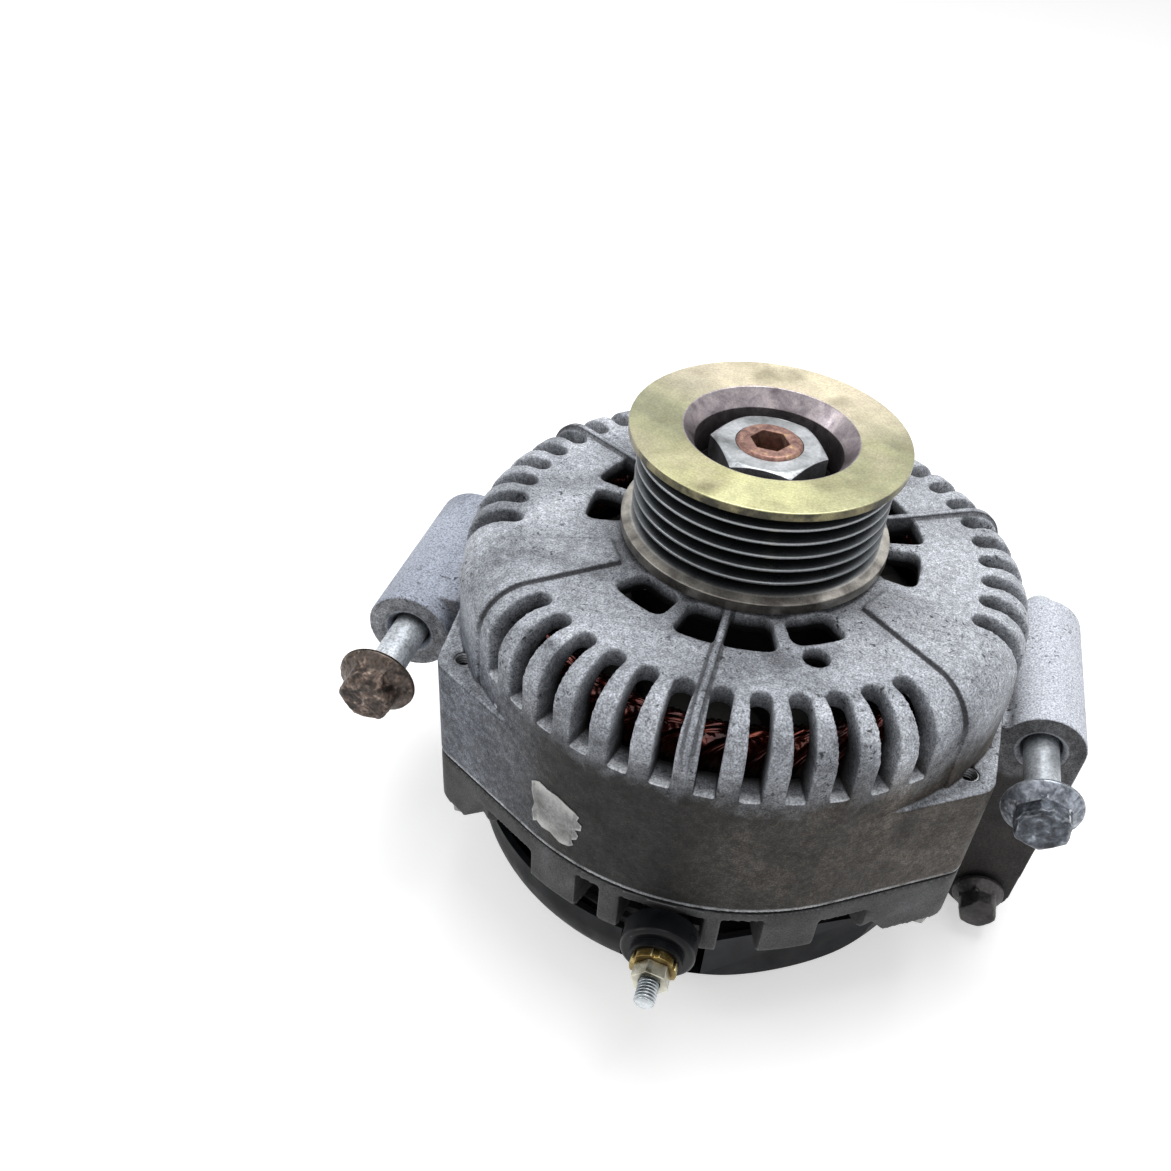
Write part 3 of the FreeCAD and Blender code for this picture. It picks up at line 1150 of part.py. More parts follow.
def build():
    os.makedirs("parts", exist_ok=True)
    big = flange_bolt(BIG_BOLT, BIG_BOLT_L, BIG_THREAD_L, 0.0)
    big_turned = flange_bolt(BIG_BOLT, BIG_BOLT_L, BIG_THREAD_L, RIGHT_HEAD_TURN)
    small = flange_bolt(SMALL_BOLT, SMALL_BOLT_L, SMALL_THREAD_L, LOWER_HEAD_TURN)
    nodes = {
        "drive_end_frame": drive_end_frame(),
        "slip_ring_end_frame": slip_ring_end_frame(),
        "through_bolts": through_bolts(),
        "stator_core": stator_core(),
        "stator_windings": stator_windings(),
        "front_bearing_outer_race": outer_race(FRONT_BEARING, FRONT_BEARING_Z),
        "front_bearing_inner_race": inner_race(FRONT_BEARING, FRONT_BEARING_Z),
        "front_bearing_balls": ball_set(FRONT_BEARING, FRONT_BEARING_Z),
        "rear_bearing_outer_race": outer_race(REAR_BEARING, REAR_BEARING_Z),
        "rear_bearing_inner_race": inner_race(REAR_BEARING, REAR_BEARING_Z),
        "rear_bearing_balls": ball_set(REAR_BEARING, REAR_BEARING_Z),
        "bearing_retainer": bearing_retainer(),
        "retainer_screws": retainer_screws(),
        "rotor_shaft": rotor_shaft(),
        "pulley": pulley(),
        "pulley_nut": pulley_nut(),
        "shaft_collar": shaft_collar(),
        "rear_claw_pole": claw_pole(True),
        "front_claw_pole": claw_pole(False),
        "field_bobbin": field_bobbin(),
        "field_coil": field_coil(),
        "front_fan": fan(FRONT_FAN_R, FAN_IN_R, POLE_TOP_Z, FRONT_FAN_H, True),
        "rear_fan": fan(REAR_FAN_R, REAR_FAN_IN_R, POLE_FOOT_Z, REAR_FAN_H, False),
        "slip_rings": slip_rings(),
        "slip_ring_insulator": slip_ring_insulator(),
        "upper_brush": brush(UPPER_RING_Z),
        "lower_brush": brush(LOWER_RING_Z),
        "upper_brush_spring": brush_spring(UPPER_RING_Z),
        "lower_brush_spring": brush_spring(LOWER_RING_Z),
        "brush_holder": brush_holder(),
        "negative_heat_sink": heat_sink(NEGATIVE_Z, REAR_WALL_Z),
        "positive_heat_sink": heat_sink(POSITIVE_Z, POSITIVE_Z + PLATE_T),
        "negative_diodes": diodes(REAR_WALL_Z - DIODE_CAN_H, REAR_WALL_Z - SLIDE_GAP, BOARD_Z[0]),
        "positive_diodes": diodes(POSITIVE_Z, POSITIVE_Z + DIODE_CAN_H, BOARD_Z[1]),
        "terminal_board": terminal_board(),
        "rectifier_bushes": rectifier_bushes(),
        "cover_studs": cover_studs(),
        "rectifier_nuts": small_nuts(POSITIVE_Z),
        "cover_nuts": small_nuts(WELL_FLOOR_Z),
        "voltage_regulator": voltage_regulator(),
        "regulator_screws": regulator_screws(),
        "connector_socket": connector_socket(),
        "connector_pins": Part.makeCompound(pin_blocks(0.0)),
        "b_plus_stud": b_plus_stud(),
        "b_plus_bar": b_plus_bar(),
        "b_plus_insulator": b_plus_insulator(),
        "b_plus_flange_nut": b_plus_flange_nut(),
        "b_plus_hex_nut": b_plus_hex_nut(),
        "rear_cover": rear_cover(),
        "left_mount_bolt": placed_bolt(big, -TUBE_X, LEFT_TUBE_Y[0] - BIG_BOLT_OUT, TUBE_Z),
        "right_mount_bolt": placed_bolt(big_turned, TUBE_X, RIGHT_TUBE_Y[0] - BIG_BOLT_OUT, TUBE_Z),
        "lower_mount_bolt": placed_bolt(small, TUBE_X, RIGHT_TUBE_Y[0] - SMALL_BOLT_OUT, ARM_FOOT_Z),
    }
    for name, shape in nodes.items():
        save(name, shape)


build()
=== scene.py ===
import math
import random

import bmesh
import bpy
from mathutils import Matrix, Vector
from mathutils.noise import turbulence


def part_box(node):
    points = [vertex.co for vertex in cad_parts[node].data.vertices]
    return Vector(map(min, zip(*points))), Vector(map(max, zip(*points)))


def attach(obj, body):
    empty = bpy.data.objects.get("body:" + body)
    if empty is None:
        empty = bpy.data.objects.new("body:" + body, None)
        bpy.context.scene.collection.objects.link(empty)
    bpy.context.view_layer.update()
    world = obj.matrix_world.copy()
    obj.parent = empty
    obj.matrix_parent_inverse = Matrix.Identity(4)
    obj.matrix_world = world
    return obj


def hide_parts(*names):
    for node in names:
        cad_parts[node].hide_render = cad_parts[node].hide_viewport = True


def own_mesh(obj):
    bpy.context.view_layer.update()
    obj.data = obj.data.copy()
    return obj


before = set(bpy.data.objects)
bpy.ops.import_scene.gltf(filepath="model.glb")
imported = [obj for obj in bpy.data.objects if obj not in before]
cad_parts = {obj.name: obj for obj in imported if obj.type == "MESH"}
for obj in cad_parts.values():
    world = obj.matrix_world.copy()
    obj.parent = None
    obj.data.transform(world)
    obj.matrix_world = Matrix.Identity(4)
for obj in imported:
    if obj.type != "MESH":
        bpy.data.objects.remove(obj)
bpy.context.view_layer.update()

# Slip-ring-end frame
# The rear half of the housing: a rim, fingers, three ears and the wall that holds the rear bearing.
# It is cast in aluminium and left as cast, so its edges are soft and its skin is grey and stained.

REAR_SKIN_STEP = 0.0006
REAR_SOFTENING = 2


def tone(*parts):
    # A colour as the eye reads it: its red, green and blue, each from 0 to 255
    shares = [part / 255 for part in parts]
    lit = [share / 12.92 if share <= 0.04045 else ((share + 0.055) / 1.055) ** 2.4 for share in shares]
    return lit + [1.0]


def put(kind, feeds, tree=None, **settings):
    # One shader node with its feeds, in the tree named or else in the one that a feed comes from
    wired = {key: feed for key, feed in feeds.items() if isinstance(feed, bpy.types.NodeSocket)}
    tree = tree or next(iter(wired.values())).id_data
    made = tree.nodes.new("ShaderNode" + kind)
    for key, value in settings.items():
        setattr(made, key, value)
    for key, feed in feeds.items():
        if key in wired:
            tree.links.new(feed, made.inputs[key])
        else:
            made.inputs[key].default_value = feed
    return made


def noise(at, scale, detail=4.0, warp=0.0):
    return put("TexNoise", {"Vector": at, "Scale": scale, "Detail": detail, "Distortion": warp}).outputs[0]


def spread(value, low, high, first=0.0, last=1.0):
    return put("MapRange", {0: value, 1: low, 2: high, 3: first, 4: last}).outputs[0]


def reckon(how, first, second=0.0):
    return put("Math", {0: first, 1: second}, operation=how).outputs[0]


def times(first, second):
    return reckon("MULTIPLY", first, second)


def less(first, second):
    return reckon("SUBTRACT", first, second)


def parts_of(at):
    # What a place or a direction holds across, along and up
    return put("SeparateXYZ", {0: at}).outputs


def blend(share, first, second, how="MIX"):
    return put("Mix", {0: share, 6: first, 7: second}, data_type="RGBA", blend_type=how).outputs[2]


def ramp(value, *stops):
    # Tones that follow a value, each stop given as its place and its red, green and blue
    made = put("ValToRGB", {0: value})
    bar = made.color_ramp
    stops = [(place, tone(*parts)) for place, *parts in stops]
    bar.elements[0].position, bar.elements[0].color = stops[0]
    bar.elements[1].position, bar.elements[1].color = stops[-1]
    for place, colour in stops[1:-1]:
        bar.elements.new(place).color = colour
    return made.outputs[0]


def patches(scale, *stops):
    # Cloudy patches of the tones given, as stains and oxide leave them
    return lambda at: ramp(noise(at, scale, 6.0, 0.5), *stops)


def finish(name, colouring, rough, grain, metallic=1.0, worn=None, grime_and_shade=None, coat=0.0, pits=0.0, shine=0.5,
           crease=0.0):
    # A worn surface: patches of colour, fine grain, bright worn edges, and grime with painted shade
    # in the corners and creases. Grain is its scale per metre, its share of the brightness and its
    # height in millimetres. Worn is a tone and two edge values, grime a tone, its reach and its share.
    made = bpy.data.materials.new(name)
    made.use_nodes = True
    tree = made.node_tree
    tree.nodes.clear()
    feeds = {"Metallic": metallic, "Coat Weight": coat, "Specular IOR Level": shine}
    skin = put("BsdfPrincipled", feeds, tree)
    put("OutputMaterial", {0: skin.outputs[0]})
    at = put("TexCoord", {}, tree).outputs["Object"]
    edges = put("NewGeometry", {}, tree).outputs["Pointiness"]
    scale, share, height = grain
    fine = noise(at, scale, 3.0)
    cloud = noise(at, scale / 12, 5.0, 0.3)
    colour = blend(1.0, colouring(at), spread(fine, 0.34, 0.66, 1 - share, 1 + share), "MULTIPLY")
    if grime_and_shade:
        darkening, reach, most = tone(*grime_and_shade[0]), *grime_and_shade[1:]
        # Grime and painted shade: darker where nearby surfaces close the surface in
        near = put("AmbientOcclusion", {"Distance": reach}, tree, samples=8).outputs["AO"]
        shaded = spread(near, 0.35, 0.95, 1.0, 0.0)
        uneven = spread(cloud, 0.3, 0.62, 0.25, 1.0)
        colour = blend(times(times(shaded, uneven), most), colour, darkening)
    # Painted shade and dirt in concave creases, in the grime tone
    if crease:
        colour = blend(spread(edges, 0.475, 0.43, 0.0, crease), colour, darkening)
    if worn:
        bright, start, full = worn
        broken = spread(cloud, 0.35, 0.6, 0.2, 1.0)
        bright = bright(at) if callable(bright) else tone(*bright)
        colour = blend(times(spread(edges, start, full), broken), colour, bright)
    tree.links.new(colour, skin.inputs["Base Color"])
    tree.links.new(spread(cloud, 0.3, 0.7, *rough), skin.inputs["Roughness"])
    lie = reckon("ADD", fine, times(cloud, 1.5))
    if pits:
        holes = put("TexVoronoi", {"Vector": at, "Scale": scale / 3}).outputs["Distance"]
        lie = reckon("ADD", lie, spread(holes, 0.0, 0.35, -pits, 0.0))
    bumps = put("Bump", {"Strength": 1.0, "Distance": height / 1000, "Height": lie})
    tree.links.new(bumps.outputs[0], skin.inputs["Normal"])
    return made


def welded(node):
    # A solid's own faces, joined at their seams
    body = bmesh.new()
    body.from_mesh(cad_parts[node].data)
    bmesh.ops.remove_doubles(body, verts=body.verts[:], dist=2e-6)
    for face in body.faces:
        face.material_index = 0
        face.smooth = True
    return body


def set_out(name, data):
    made = bpy.data.objects.new(name, data)
    bpy.context.scene.collection.objects.link(made)
    return made


def shown(body, name, skin):
    mesh = bpy.data.meshes.new(name)
    body.to_mesh(mesh)
    body.free()
    mesh.materials.append(skin)
    return set_out(name, mesh)


def as_cast(body, name, skin, step, softening):
    # Lays one even skin over the body and rounds its edges, as sand and the shot-blast leave them
    piece = shown(body, name, skin)
    laid = piece.modifiers.new("skin", "REMESH")
    laid.mode = "VOXEL"
    laid.voxel_size = step
    laid.use_smooth_shade = True
    soft = piece.modifiers.new("softening", "SMOOTH")
    soft.factor = 0.5
    soft.iterations = softening
    return piece


def fit(piece, body, slot, *nodes):
    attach(piece, body)
    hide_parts(*nodes)


rear_cast = finish(
    "rear_frame_cast", patches(45.0, (0.32, 50, 49, 48), (0.52, 72, 72, 73), (0.7, 98, 99, 101)),
    metallic=0.15, rough=(0.55, 0.72), grain=(2300.0, 0.35, 0.09), worn=((156, 158, 162), 0.53, 0.6),
    grime_and_shade=((24, 22, 20), 0.012, 0.9), pits=0.6, shine=0.3)
rear_solid = welded("slip_ring_end_frame")
rear_frame = as_cast(rear_solid, "rear_frame_casting", rear_cast, REAR_SKIN_STEP, REAR_SOFTENING)
fit(rear_frame, "housing", "cast_rear_frame", "slip_ring_end_frame")

# Bearings
# Two ball bearings of polished chrome steel with steel cages between their races, the larger one
# pressed into the front hub and the smaller into the rear wall.

RACE_EDGE = 0.00035
FLAT_TURN = math.radians(0.4)
SHARP_TURN = math.radians(28)
CREASE_TURN = math.radians(48)


def flattened(node):
    # The welded solid without the needless edges in its flat faces
    body = welded(node)
    bmesh.ops.dissolve_limit(body, angle_limit=FLAT_TURN, verts=body.verts[:], edges=body.edges[:])
    return body


def eased_body(node, edge):
    # The solid with its sharp edges broken, as a file, a tumbler or the tool leaves them
    body = flattened(node)
    sharp = [e for e in body.edges if len(e.link_faces) == 2 and e.calc_face_angle() > SHARP_TURN]
    bmesh.ops.bevel(
        body, geom=sharp, offset=edge, offset_type="OFFSET", segments=2, profile=0.5, affect="EDGES",
        clamp_overlap=True)
    for face in body.faces:
        face.smooth = True
    return body


def evened(piece):
    # Keeps flat faces flat to the eye beside their rounded edges
    facing = piece.modifiers.new("facing", "WEIGHTED_NORMAL")
    facing.keep_sharp = True
    piece.data.set_sharp_from_angle(angle=CREASE_TURN)
    return piece


def worked(node, how, skin, edge, body, slot):
    # Fits one solid with its edges broken; how says what was done to it
    fit(evened(shown(eased_body(node, edge), node + "_" + how, skin)), body, slot, node)


def dress(skin, *nodes):
    # Gives solids that show as they are their finish
    for node in nodes:
        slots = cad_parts[node].data.materials
        for k in range(len(slots)):
            slots[k] = skin
        if not len(slots):
            slots.append(skin)


race_steel = finish(
    "race_steel", patches(90.0, (0.35, 120, 122, 126), (0.65, 158, 160, 164)), rough=(0.16, 0.3),
    grain=(2600.0, 0.05, 0.004), worn=((205, 207, 210), 0.52, 0.58), grime_and_shade=((52, 44, 32), 0.003, 0.6))
for node in ("front_bearing_outer_race", "front_bearing_inner_race", "rear_bearing_outer_race",
             "rear_bearing_inner_race"):
    worked(node, "ground", race_steel, RACE_EDGE, "rotor" if "inner" in node else "housing", "bearing_steel")
dress(race_steel, "front_bearing_balls", "rear_bearing_balls")

# Stator core
# A stack of slotted electrical-steel sheets, riveted and clamped between the two frames. The cut
# edges of the sheets show as fine lines and carry a film of rust and varnish.

SHEET_T = 0.0005


def sheet_lines(base):
    # Bands across the stack, one for each sheet
    def colouring(at):
        height = parts_of(at)[2]
        line = reckon("FRACT", reckon("DIVIDE", height, SHEET_T))
        return blend(spread(line, 0.0, 0.3, 0.55, 0.0), base(at), tone(30, 24, 20))
    return colouring


core_steel = finish(
    "core_steel", sheet_lines(patches(70.0, (0.3, 62, 48, 40), (0.55, 84, 80, 78), (0.75, 104, 102, 101))),
    metallic=0.7, rough=(0.42, 0.6), grain=(1800.0, 0.15, 0.03), grime_and_shade=((30, 22, 16), 0.006, 0.7))
dress(core_steel, "stator_core")

# Stator windings
# Enamelled copper wire wound in the core's slots as overlapping coils, three slots wide, whose end
# turns stand up in a ring behind the air slots and are dipped in dark red varnish.

COILS = 36
COIL_REACH = 3
WIRES_UP = 4
WIRES_ACROSS = 3
WIRE_R = 0.00045
WIRE_STEP = 0.00092
SIDE_STEP = 1.08
OUTER_LEG_R = 0.0560
INNER_LEG_R = 0.0521
CORE_Z = (0.043, 0.077)
LEG_INSET = 0.004
TURN_FOOT = 0.001
LOW_FOOT = 0.0006
TOP_RISE = 0.0150
LOW_DROP = 0.0066
WANDER = 0.00022
UNEVEN = 0.0006
BUNDLE_R = (0.0506, 0.0572)
BUNDLE_FOOT = 0.0004
BUNDLE_TOP = 0.0132
BUNDLE_FACETS = 20
BUNDLE_RIDGES = 180
BUNDLE_LEAN = 26.0
RIDGE_RISE = 0.00024
COIL_RISE = 0.0004


def winding_loop(coil, row, column, chance):
    # One turn of wire: up a slot, over the end turns, down the slot three on, and back below
    first = math.radians(360 / COILS * coil)
    last = math.radians(360 / COILS * (coil + COIL_REACH))
    out_r = OUTER_LEG_R + WIRE_STEP * row
    in_r = INNER_LEG_R + WIRE_STEP * row
    shift = (column - (WIRES_ACROSS - 1) / 2) * WIRE_STEP * SIDE_STEP
    top = TOP_RISE * (0.70 + 0.075 * row + 0.05 * column) + chance.uniform(-UNEVEN, UNEVEN)
    low = LOW_DROP * (0.78 + 0.05 * row + 0.03 * column)
    low_z, high_z = CORE_Z[0] + LEG_INSET, CORE_Z[1] - LEG_INSET
    turn_z, foot_z = CORE_Z[1] + TURN_FOOT, CORE_Z[0] - LOW_FOOT

    def place(share, z):
        angle = first + (last - first) * share
        radius = out_r + (in_r - out_r) * share + chance.uniform(-WANDER, WANDER)
        side = shift * (1 - 2 * share)
        across = radius * math.cos(angle) - side * math.sin(angle)
        return (across, radius * math.sin(angle) + side * math.cos(angle), z)

    points = [place(0, low_z), place(0, high_z), place(0, turn_z)]
    for share in (0.06, 0.2, 0.36, 0.5, 0.64, 0.8, 0.94):
        points.append(place(share, turn_z + top * math.sin(math.pi * share) ** 0.55))
    points += [place(1, turn_z), place(1, high_z), place(1, low_z), place(1, foot_z)]
    for share in (0.9, 0.7, 0.5, 0.3, 0.1):
        points.append(place(share, foot_z - low * math.sin(math.pi * share) ** 0.6))
    return points + [place(0, foot_z)]


def final_mesh(piece):
    # The mesh that a piece's curve or modifiers come to; the piece itself goes
    mesh = bpy.data.meshes.new_from_object(piece.evaluated_get(bpy.context.evaluated_depsgraph_get()))
    bpy.data.objects.remove(piece)
    return mesh


def wire_mesh(name, loops, radius, skin):
    # Round wire laid along each closed loop of points
    path = bpy.data.curves.new(name, "CURVE")
    path.dimensions = "3D"
    path.bevel_depth = radius
    path.bevel_resolution = 1
    path.resolution_u = 3
    for points in loops:
        run = path.splines.new("NURBS")
        run.points.add(len(points) - 1)
        for point, place in zip(run.points, points):
            point.co = (*place, 1.0)
        run.order_u = 3
        run.use_cyclic_u = True
    mesh = final_mesh(set_out(name + "_path", path))
    mesh.name = name
    mesh.materials.clear()
    mesh.materials.append(skin)
    mesh.shade_smooth()
    return set_out(name, mesh)


def join_rings(body, rings, looped=False, closed=True, smooth=True):
    # Lays faces from each row of points to the next, and from the last to the first if looped
    for here, there in zip(rings, rings[1:] + rings[:1] if looped else rings[1:]):
        for k in range(len(here) if closed else len(here) - 1):
            n = (k + 1) % len(here)
            body.faces.new((here[k], here[n], there[n], there[k])).smooth = smooth


def add_body(body, added):
    # Adds one body's faces to another
    loose = bpy.data.meshes.new("loose")
    added.to_mesh(loose)
    added.free()
    body.from_mesh(loose)
    bpy.data.meshes.remove(loose)


def at_angle(radius, angle, height=0.0):
    return Vector((radius * math.cos(angle), radius * math.sin(angle), height))


def face_out(body):
    bmesh.ops.recalc_face_normals(body, faces=body.faces[:])


def bundle_body():
    # The varnished mass of wire behind the single turns: an arch in section, ridged all round
    inner, outer = BUNDLE_R
    middle = (inner + outer) / 2
    profile = []
    for k in range(BUNDLE_FACETS + 1):
        turn = math.pi * k / BUNDLE_FACETS
        profile.append((middle + (outer - inner) / 2 * math.cos(turn),
                        CORE_Z[1] + BUNDLE_FOOT + BUNDLE_TOP * math.sin(turn) ** 0.4))
    body = bmesh.new()
    rings = []
    for s in range(BUNDLE_RIDGES * 5):
        angle = 2 * math.pi * s / (BUNDLE_RIDGES * 5)
        ring = []
        for k, (radius, height) in enumerate(profile):
            lean = BUNDLE_LEAN * (height - CORE_Z[1]) / BUNDLE_TOP
            rise = RIDGE_RISE * math.sin(BUNDLE_RIDGES * angle + lean)
            rise += COIL_RISE * math.sin(COILS * angle + 0.4 * k)
            out = Vector((radius - middle, height - CORE_Z[1] - BUNDLE_TOP * 0.4)).normalized() * rise
            ring.append(body.verts.new(at_angle(radius + out.x, angle, height + max(0.0, out.y))))
        rings.append(ring)
    join_rings(body, rings, looped=True)
    face_out(body)
    return body


enamelled_copper = finish(
    "enamelled_copper", patches(260.0, (0.3, 52, 14, 11), (0.5, 98, 32, 24), (0.72, 158, 76, 56)),
    metallic=0.8, rough=(0.12, 0.28), grain=(900.0, 0.2, 0.006), grime_and_shade=((14, 6, 5), 0.004, 0.85), coat=0.8)
chance = random.Random(7)
loops = [winding_loop(coil, row, column, chance)
         for coil in range(COILS) for row in range(WIRES_UP) for column in range(WIRES_ACROSS)]
windings = wire_mesh("stator_wires", loops, WIRE_R, enamelled_copper)
wires = bmesh.new()
wires.from_mesh(windings.data)
add_body(wires, bundle_body())
wires.to_mesh(windings.data)
wires.free()
fit(windings, "housing", "enamelled_copper", "stator_windings")

# Rotor shaft
# Turned from carbon steel with a ground bearing seat, a threaded nose and a hexagon socket that
# holds it still while the nut is tightened. Its open end has rusted brown.

SHAFT_EDGE = 0.0004
NOSE_Z = 0.1195


def shaft_colours(at):
    height = parts_of(at)[2]
    ground = ramp(noise(at, 120.0), (0.35, 110, 110, 112), (0.65, 150, 150, 152))
    rust = ramp(noise(at, 420.0, 6.0, 0.6),
                (0.3, 96, 70, 63), (0.5, 142, 109, 100), (0.64, 166, 132, 115), (0.76, 212, 188, 116))
    return blend(spread(height, NOSE_Z, NOSE_Z + 0.002), ground, rust)


shaft_steel = finish(
    "shaft_steel", shaft_colours, metallic=0.75, rough=(0.34, 0.55), grain=(1900.0, 0.2, 0.02),
    grime_and_shade=((36, 23, 18), 0.004, 0.75))
worked("rotor_shaft", "turned", shaft_steel, SHAFT_EDGE, "rotor", "machine_steel")

# Claw poles
# Two forged soft-iron halves with six claws each, pressed on the shaft round the field coil. The
# rims are turned bright and the flanks keep their dark forging scale.

POLE_EDGE = 0.0007
pole_iron = finish(
    "pole_iron", patches(55.0, (0.3, 40, 36, 33), (0.55, 62, 58, 55), (0.75, 88, 84, 80)),
    metallic=0.8, rough=(0.4, 0.6), grain=(1300.0, 0.2, 0.04), worn=((160, 158, 156), 0.53, 0.6),
    grime_and_shade=((34, 22, 14), 0.008, 0.8))
for node in ("rear_claw_pole", "front_claw_pole"):
    worked(node, "forged", pole_iron, POLE_EDGE, "rotor", "machine_steel")

# Field bobbin and coil
# A moulded nylon bobbin wound with fine enamelled copper wire, varnished into one hard ring inside
# the claws.

COIL_LAYERS = 20
COIL_FACETS = 96
COIL_DEPTH = 0.0148
LAYER_BULGE = 0.45
COIL_LOW, COIL_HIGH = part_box("field_coil")

layer = (COIL_HIGH.z - COIL_LOW.z) / COIL_LAYERS
profile = [(COIL_HIGH.x - COIL_DEPTH, COIL_LOW.z), (COIL_HIGH.x - COIL_DEPTH, COIL_HIGH.z)]
for k in range(COIL_LAYERS * 4, -1, -1):
    bulge = abs(math.sin(math.pi * k / 4))
    profile.append((COIL_HIGH.x - layer * LAYER_BULGE * (1 - bulge), COIL_LOW.z + layer * k / 4))
coil = bmesh.new()
rings = []
for s in range(COIL_FACETS):
    angle = 2 * math.pi * s / COIL_FACETS
    rings.append([coil.verts.new(at_angle(radius, angle, height)) for radius, height in profile])
join_rings(coil, rings, looped=True)
face_out(coil)
fit(shown(coil, "field_coil_turns", enamelled_copper), "rotor", "enamelled_copper", "field_coil")
bobbin_nylon = finish(
    "bobbin_nylon", patches(60.0, (0.35, 176, 160, 128), (0.65, 206, 192, 162)), metallic=0.0,
    rough=(0.45, 0.6), grain=(900.0, 0.06, 0.01), grime_and_shade=((60, 42, 26), 0.004, 0.6))
dress(bobbin_nylon, "field_bobbin")

# Fans
# Two pressed-steel fans spot-welded to the poles. They are plain steel gone dull and dusty, painted
# near black as shade, and show darkly through the openings of the face.

FAN_EDGE = 0.00025
# Near-black tones: painted shade on the fans seen through the face
shaded_fan_steel = finish(
    "shaded_fan_steel", patches(50.0, (0.3, 20, 19, 18), (0.55, 36, 35, 33), (0.75, 60, 59, 55)),
    metallic=0.5, rough=(0.42, 0.62), grain=(1400.0, 0.2, 0.02), worn=((140, 138, 136), 0.53, 0.6),
    grime_and_shade=((24, 20, 18), 0.01, 0.85))
for node in ("front_fan", "rear_fan"):
    worked(node, "pressed", shaded_fan_steel, FAN_EDGE, "rotor", "sheet_steel")

# Slip rings
# Two copper rings moulded on an insulating sleeve on the shaft's tail. The brushes keep a bright
# track round each and blacken the rest.

RING_EDGE = 0.0003
TRACK_LINES = 9000.0


def worn_track(at):
    height = parts_of(at)[2]
    line = reckon("SINE", times(height, TRACK_LINES))
    copper = ramp(noise(at, 500.0), (0.35, 138, 78, 46), (0.65, 196, 124, 80))
    return blend(spread(line, -1.0, 1.0, 0.0, 0.35), copper, tone(60, 38, 28))


ring_copper = finish(
    "ring_copper", worn_track, rough=(0.2, 0.34), grain=(2400.0, 0.1, 0.006),
    grime_and_shade=((24, 16, 12), 0.003, 0.7))
worked("slip_rings", "worn", ring_copper, RING_EDGE, "rotor", "bare_copper")
sleeve_resin = finish(
    "sleeve_resin", patches(120.0, (0.35, 30, 26, 24), (0.65, 52, 46, 42)), metallic=0.0,
    rough=(0.4, 0.55), grain=(1600.0, 0.12, 0.01), grime_and_shade=((16, 14, 13), 0.003, 0.6))
dress(sleeve_resin, "slip_ring_insulator")

# Drive-end frame
# The front half of the housing: a dome cast in aluminium with air slots, ears, two mounting tubes
# and an arm. The blasted skin sparkles on the face, and oil and road dirt have browned the skirt. Its
# tones also carry painted light on the upper faces and painted shade down the skirt and inside.

DRIVE_SKIN_STEP = 0.00045
DRIVE_SOFTENING = 1
DOME_R = 0.0697
DOME_FACE_Z = 0.1034
SHOULDER_R = 0.011
TUBE_START_X = 0.0705
ARM_TOP_Z = 0.053
SILL_Z = (0.0835, 0.0862)
SILL_FOOT_Z = (0.078, 0.080)
SILL_R = 0.0668
SKIRT_RIM_Z = 0.0469
KIDNEY_OUT_R = 0.0445
TUBE_X = 0.0816
TUBE_Z = 0.0653
TUBE_MOUTH_R = 0.0064
TOOL_RINGS = 11000.0
EAR_ANGLES = (-148.0, -30.0, 90.0)
PANEL_ANGLES = (-150.0, -30.0, 90.0)
PANEL_U = (0.035, 0.0747)
PANEL_HALF_W = (0.0048, 0.01155)
PANEL_MIDDLE = 0.0019
TUBE_SHADE_X = -0.0685
RIB_ANGLES = (-90.0, 30.0, 150.0)
RIB_HALF_W = 0.00085
RIB_START_R = 0.0305
FOOT_LINE_W = (0.0003, 0.0007)
FOOT_SHADOW_Z = (0.090, 0.096)
FACE_START_Z = (0.081, 0.095)
WAVE_Z = 0.003
LIT_X = (0.005, 0.045)
LIT_Y = (-0.045, -0.02)
STAIN_R = (0.058, 0.034)
LIT_SKIRT_X = (-0.030, -0.058)
BROWN_SIDE_X = (0.0, 0.05)
SHADE_DEPTH = (0.0034, 0.0066)
SHADE_START = 0.0009


def off_centre(across, along):
    # How far a place lies from the centre that its two parts are taken from
    flat = put("CombineXYZ", {0: across, 1: along}).outputs[0]
    return put("VectorMath", {0: flat}, operation="LENGTH").outputs["Value"]


def under_skin(radius, height):
    # How far a point lies under the dome's outer skin
    out = reckon("MAXIMUM", less(radius, DOME_R - SHOULDER_R), 0.0)
    up = reckon("MAXIMUM", less(height, DOME_FACE_Z - SHOULDER_R), 0.0)
    square = reckon("ADD", times(out, out), times(up, up))
    return less(SHOULDER_R, reckon("SQRT", square))


def foot_line(across, along, angle, start, middle, half):
    # 1 along both feet of a raised strip that runs outward at this angle
    turn = math.radians(angle)
    out = reckon("ADD", times(across, math.cos(turn)), times(along, math.sin(turn)))
    side = less(times(along, math.cos(turn)), times(across, math.sin(turn)))
    off = reckon("ABSOLUTE", less(side, middle))
    off = reckon("ABSOLUTE", less(off, half(out)))
    return times(spread(off, *FOOT_LINE_W, 1.0, 0.0), reckon("GREATER_THAN", out, start))


def foot_shadow(across, along):
    # Painted shadow along the feet of the panels, which widen from the hub toward each ear, and along the
    # thin ribs
    darkening = 0.0
    for angle in PANEL_ANGLES:
        line = foot_line(across, along, angle, PANEL_U[0], PANEL_MIDDLE,
                         lambda out: spread(out, *PANEL_U, *PANEL_HALF_W))
        darkening = reckon("MAXIMUM", darkening, line)
    for angle in RIB_ANGLES:
        line = foot_line(across, along, angle, RIB_START_R, 0.0, lambda out: RIB_HALF_W + 0.0003)
        darkening = reckon("MAXIMUM", darkening, times(line, 0.7))
    return darkening


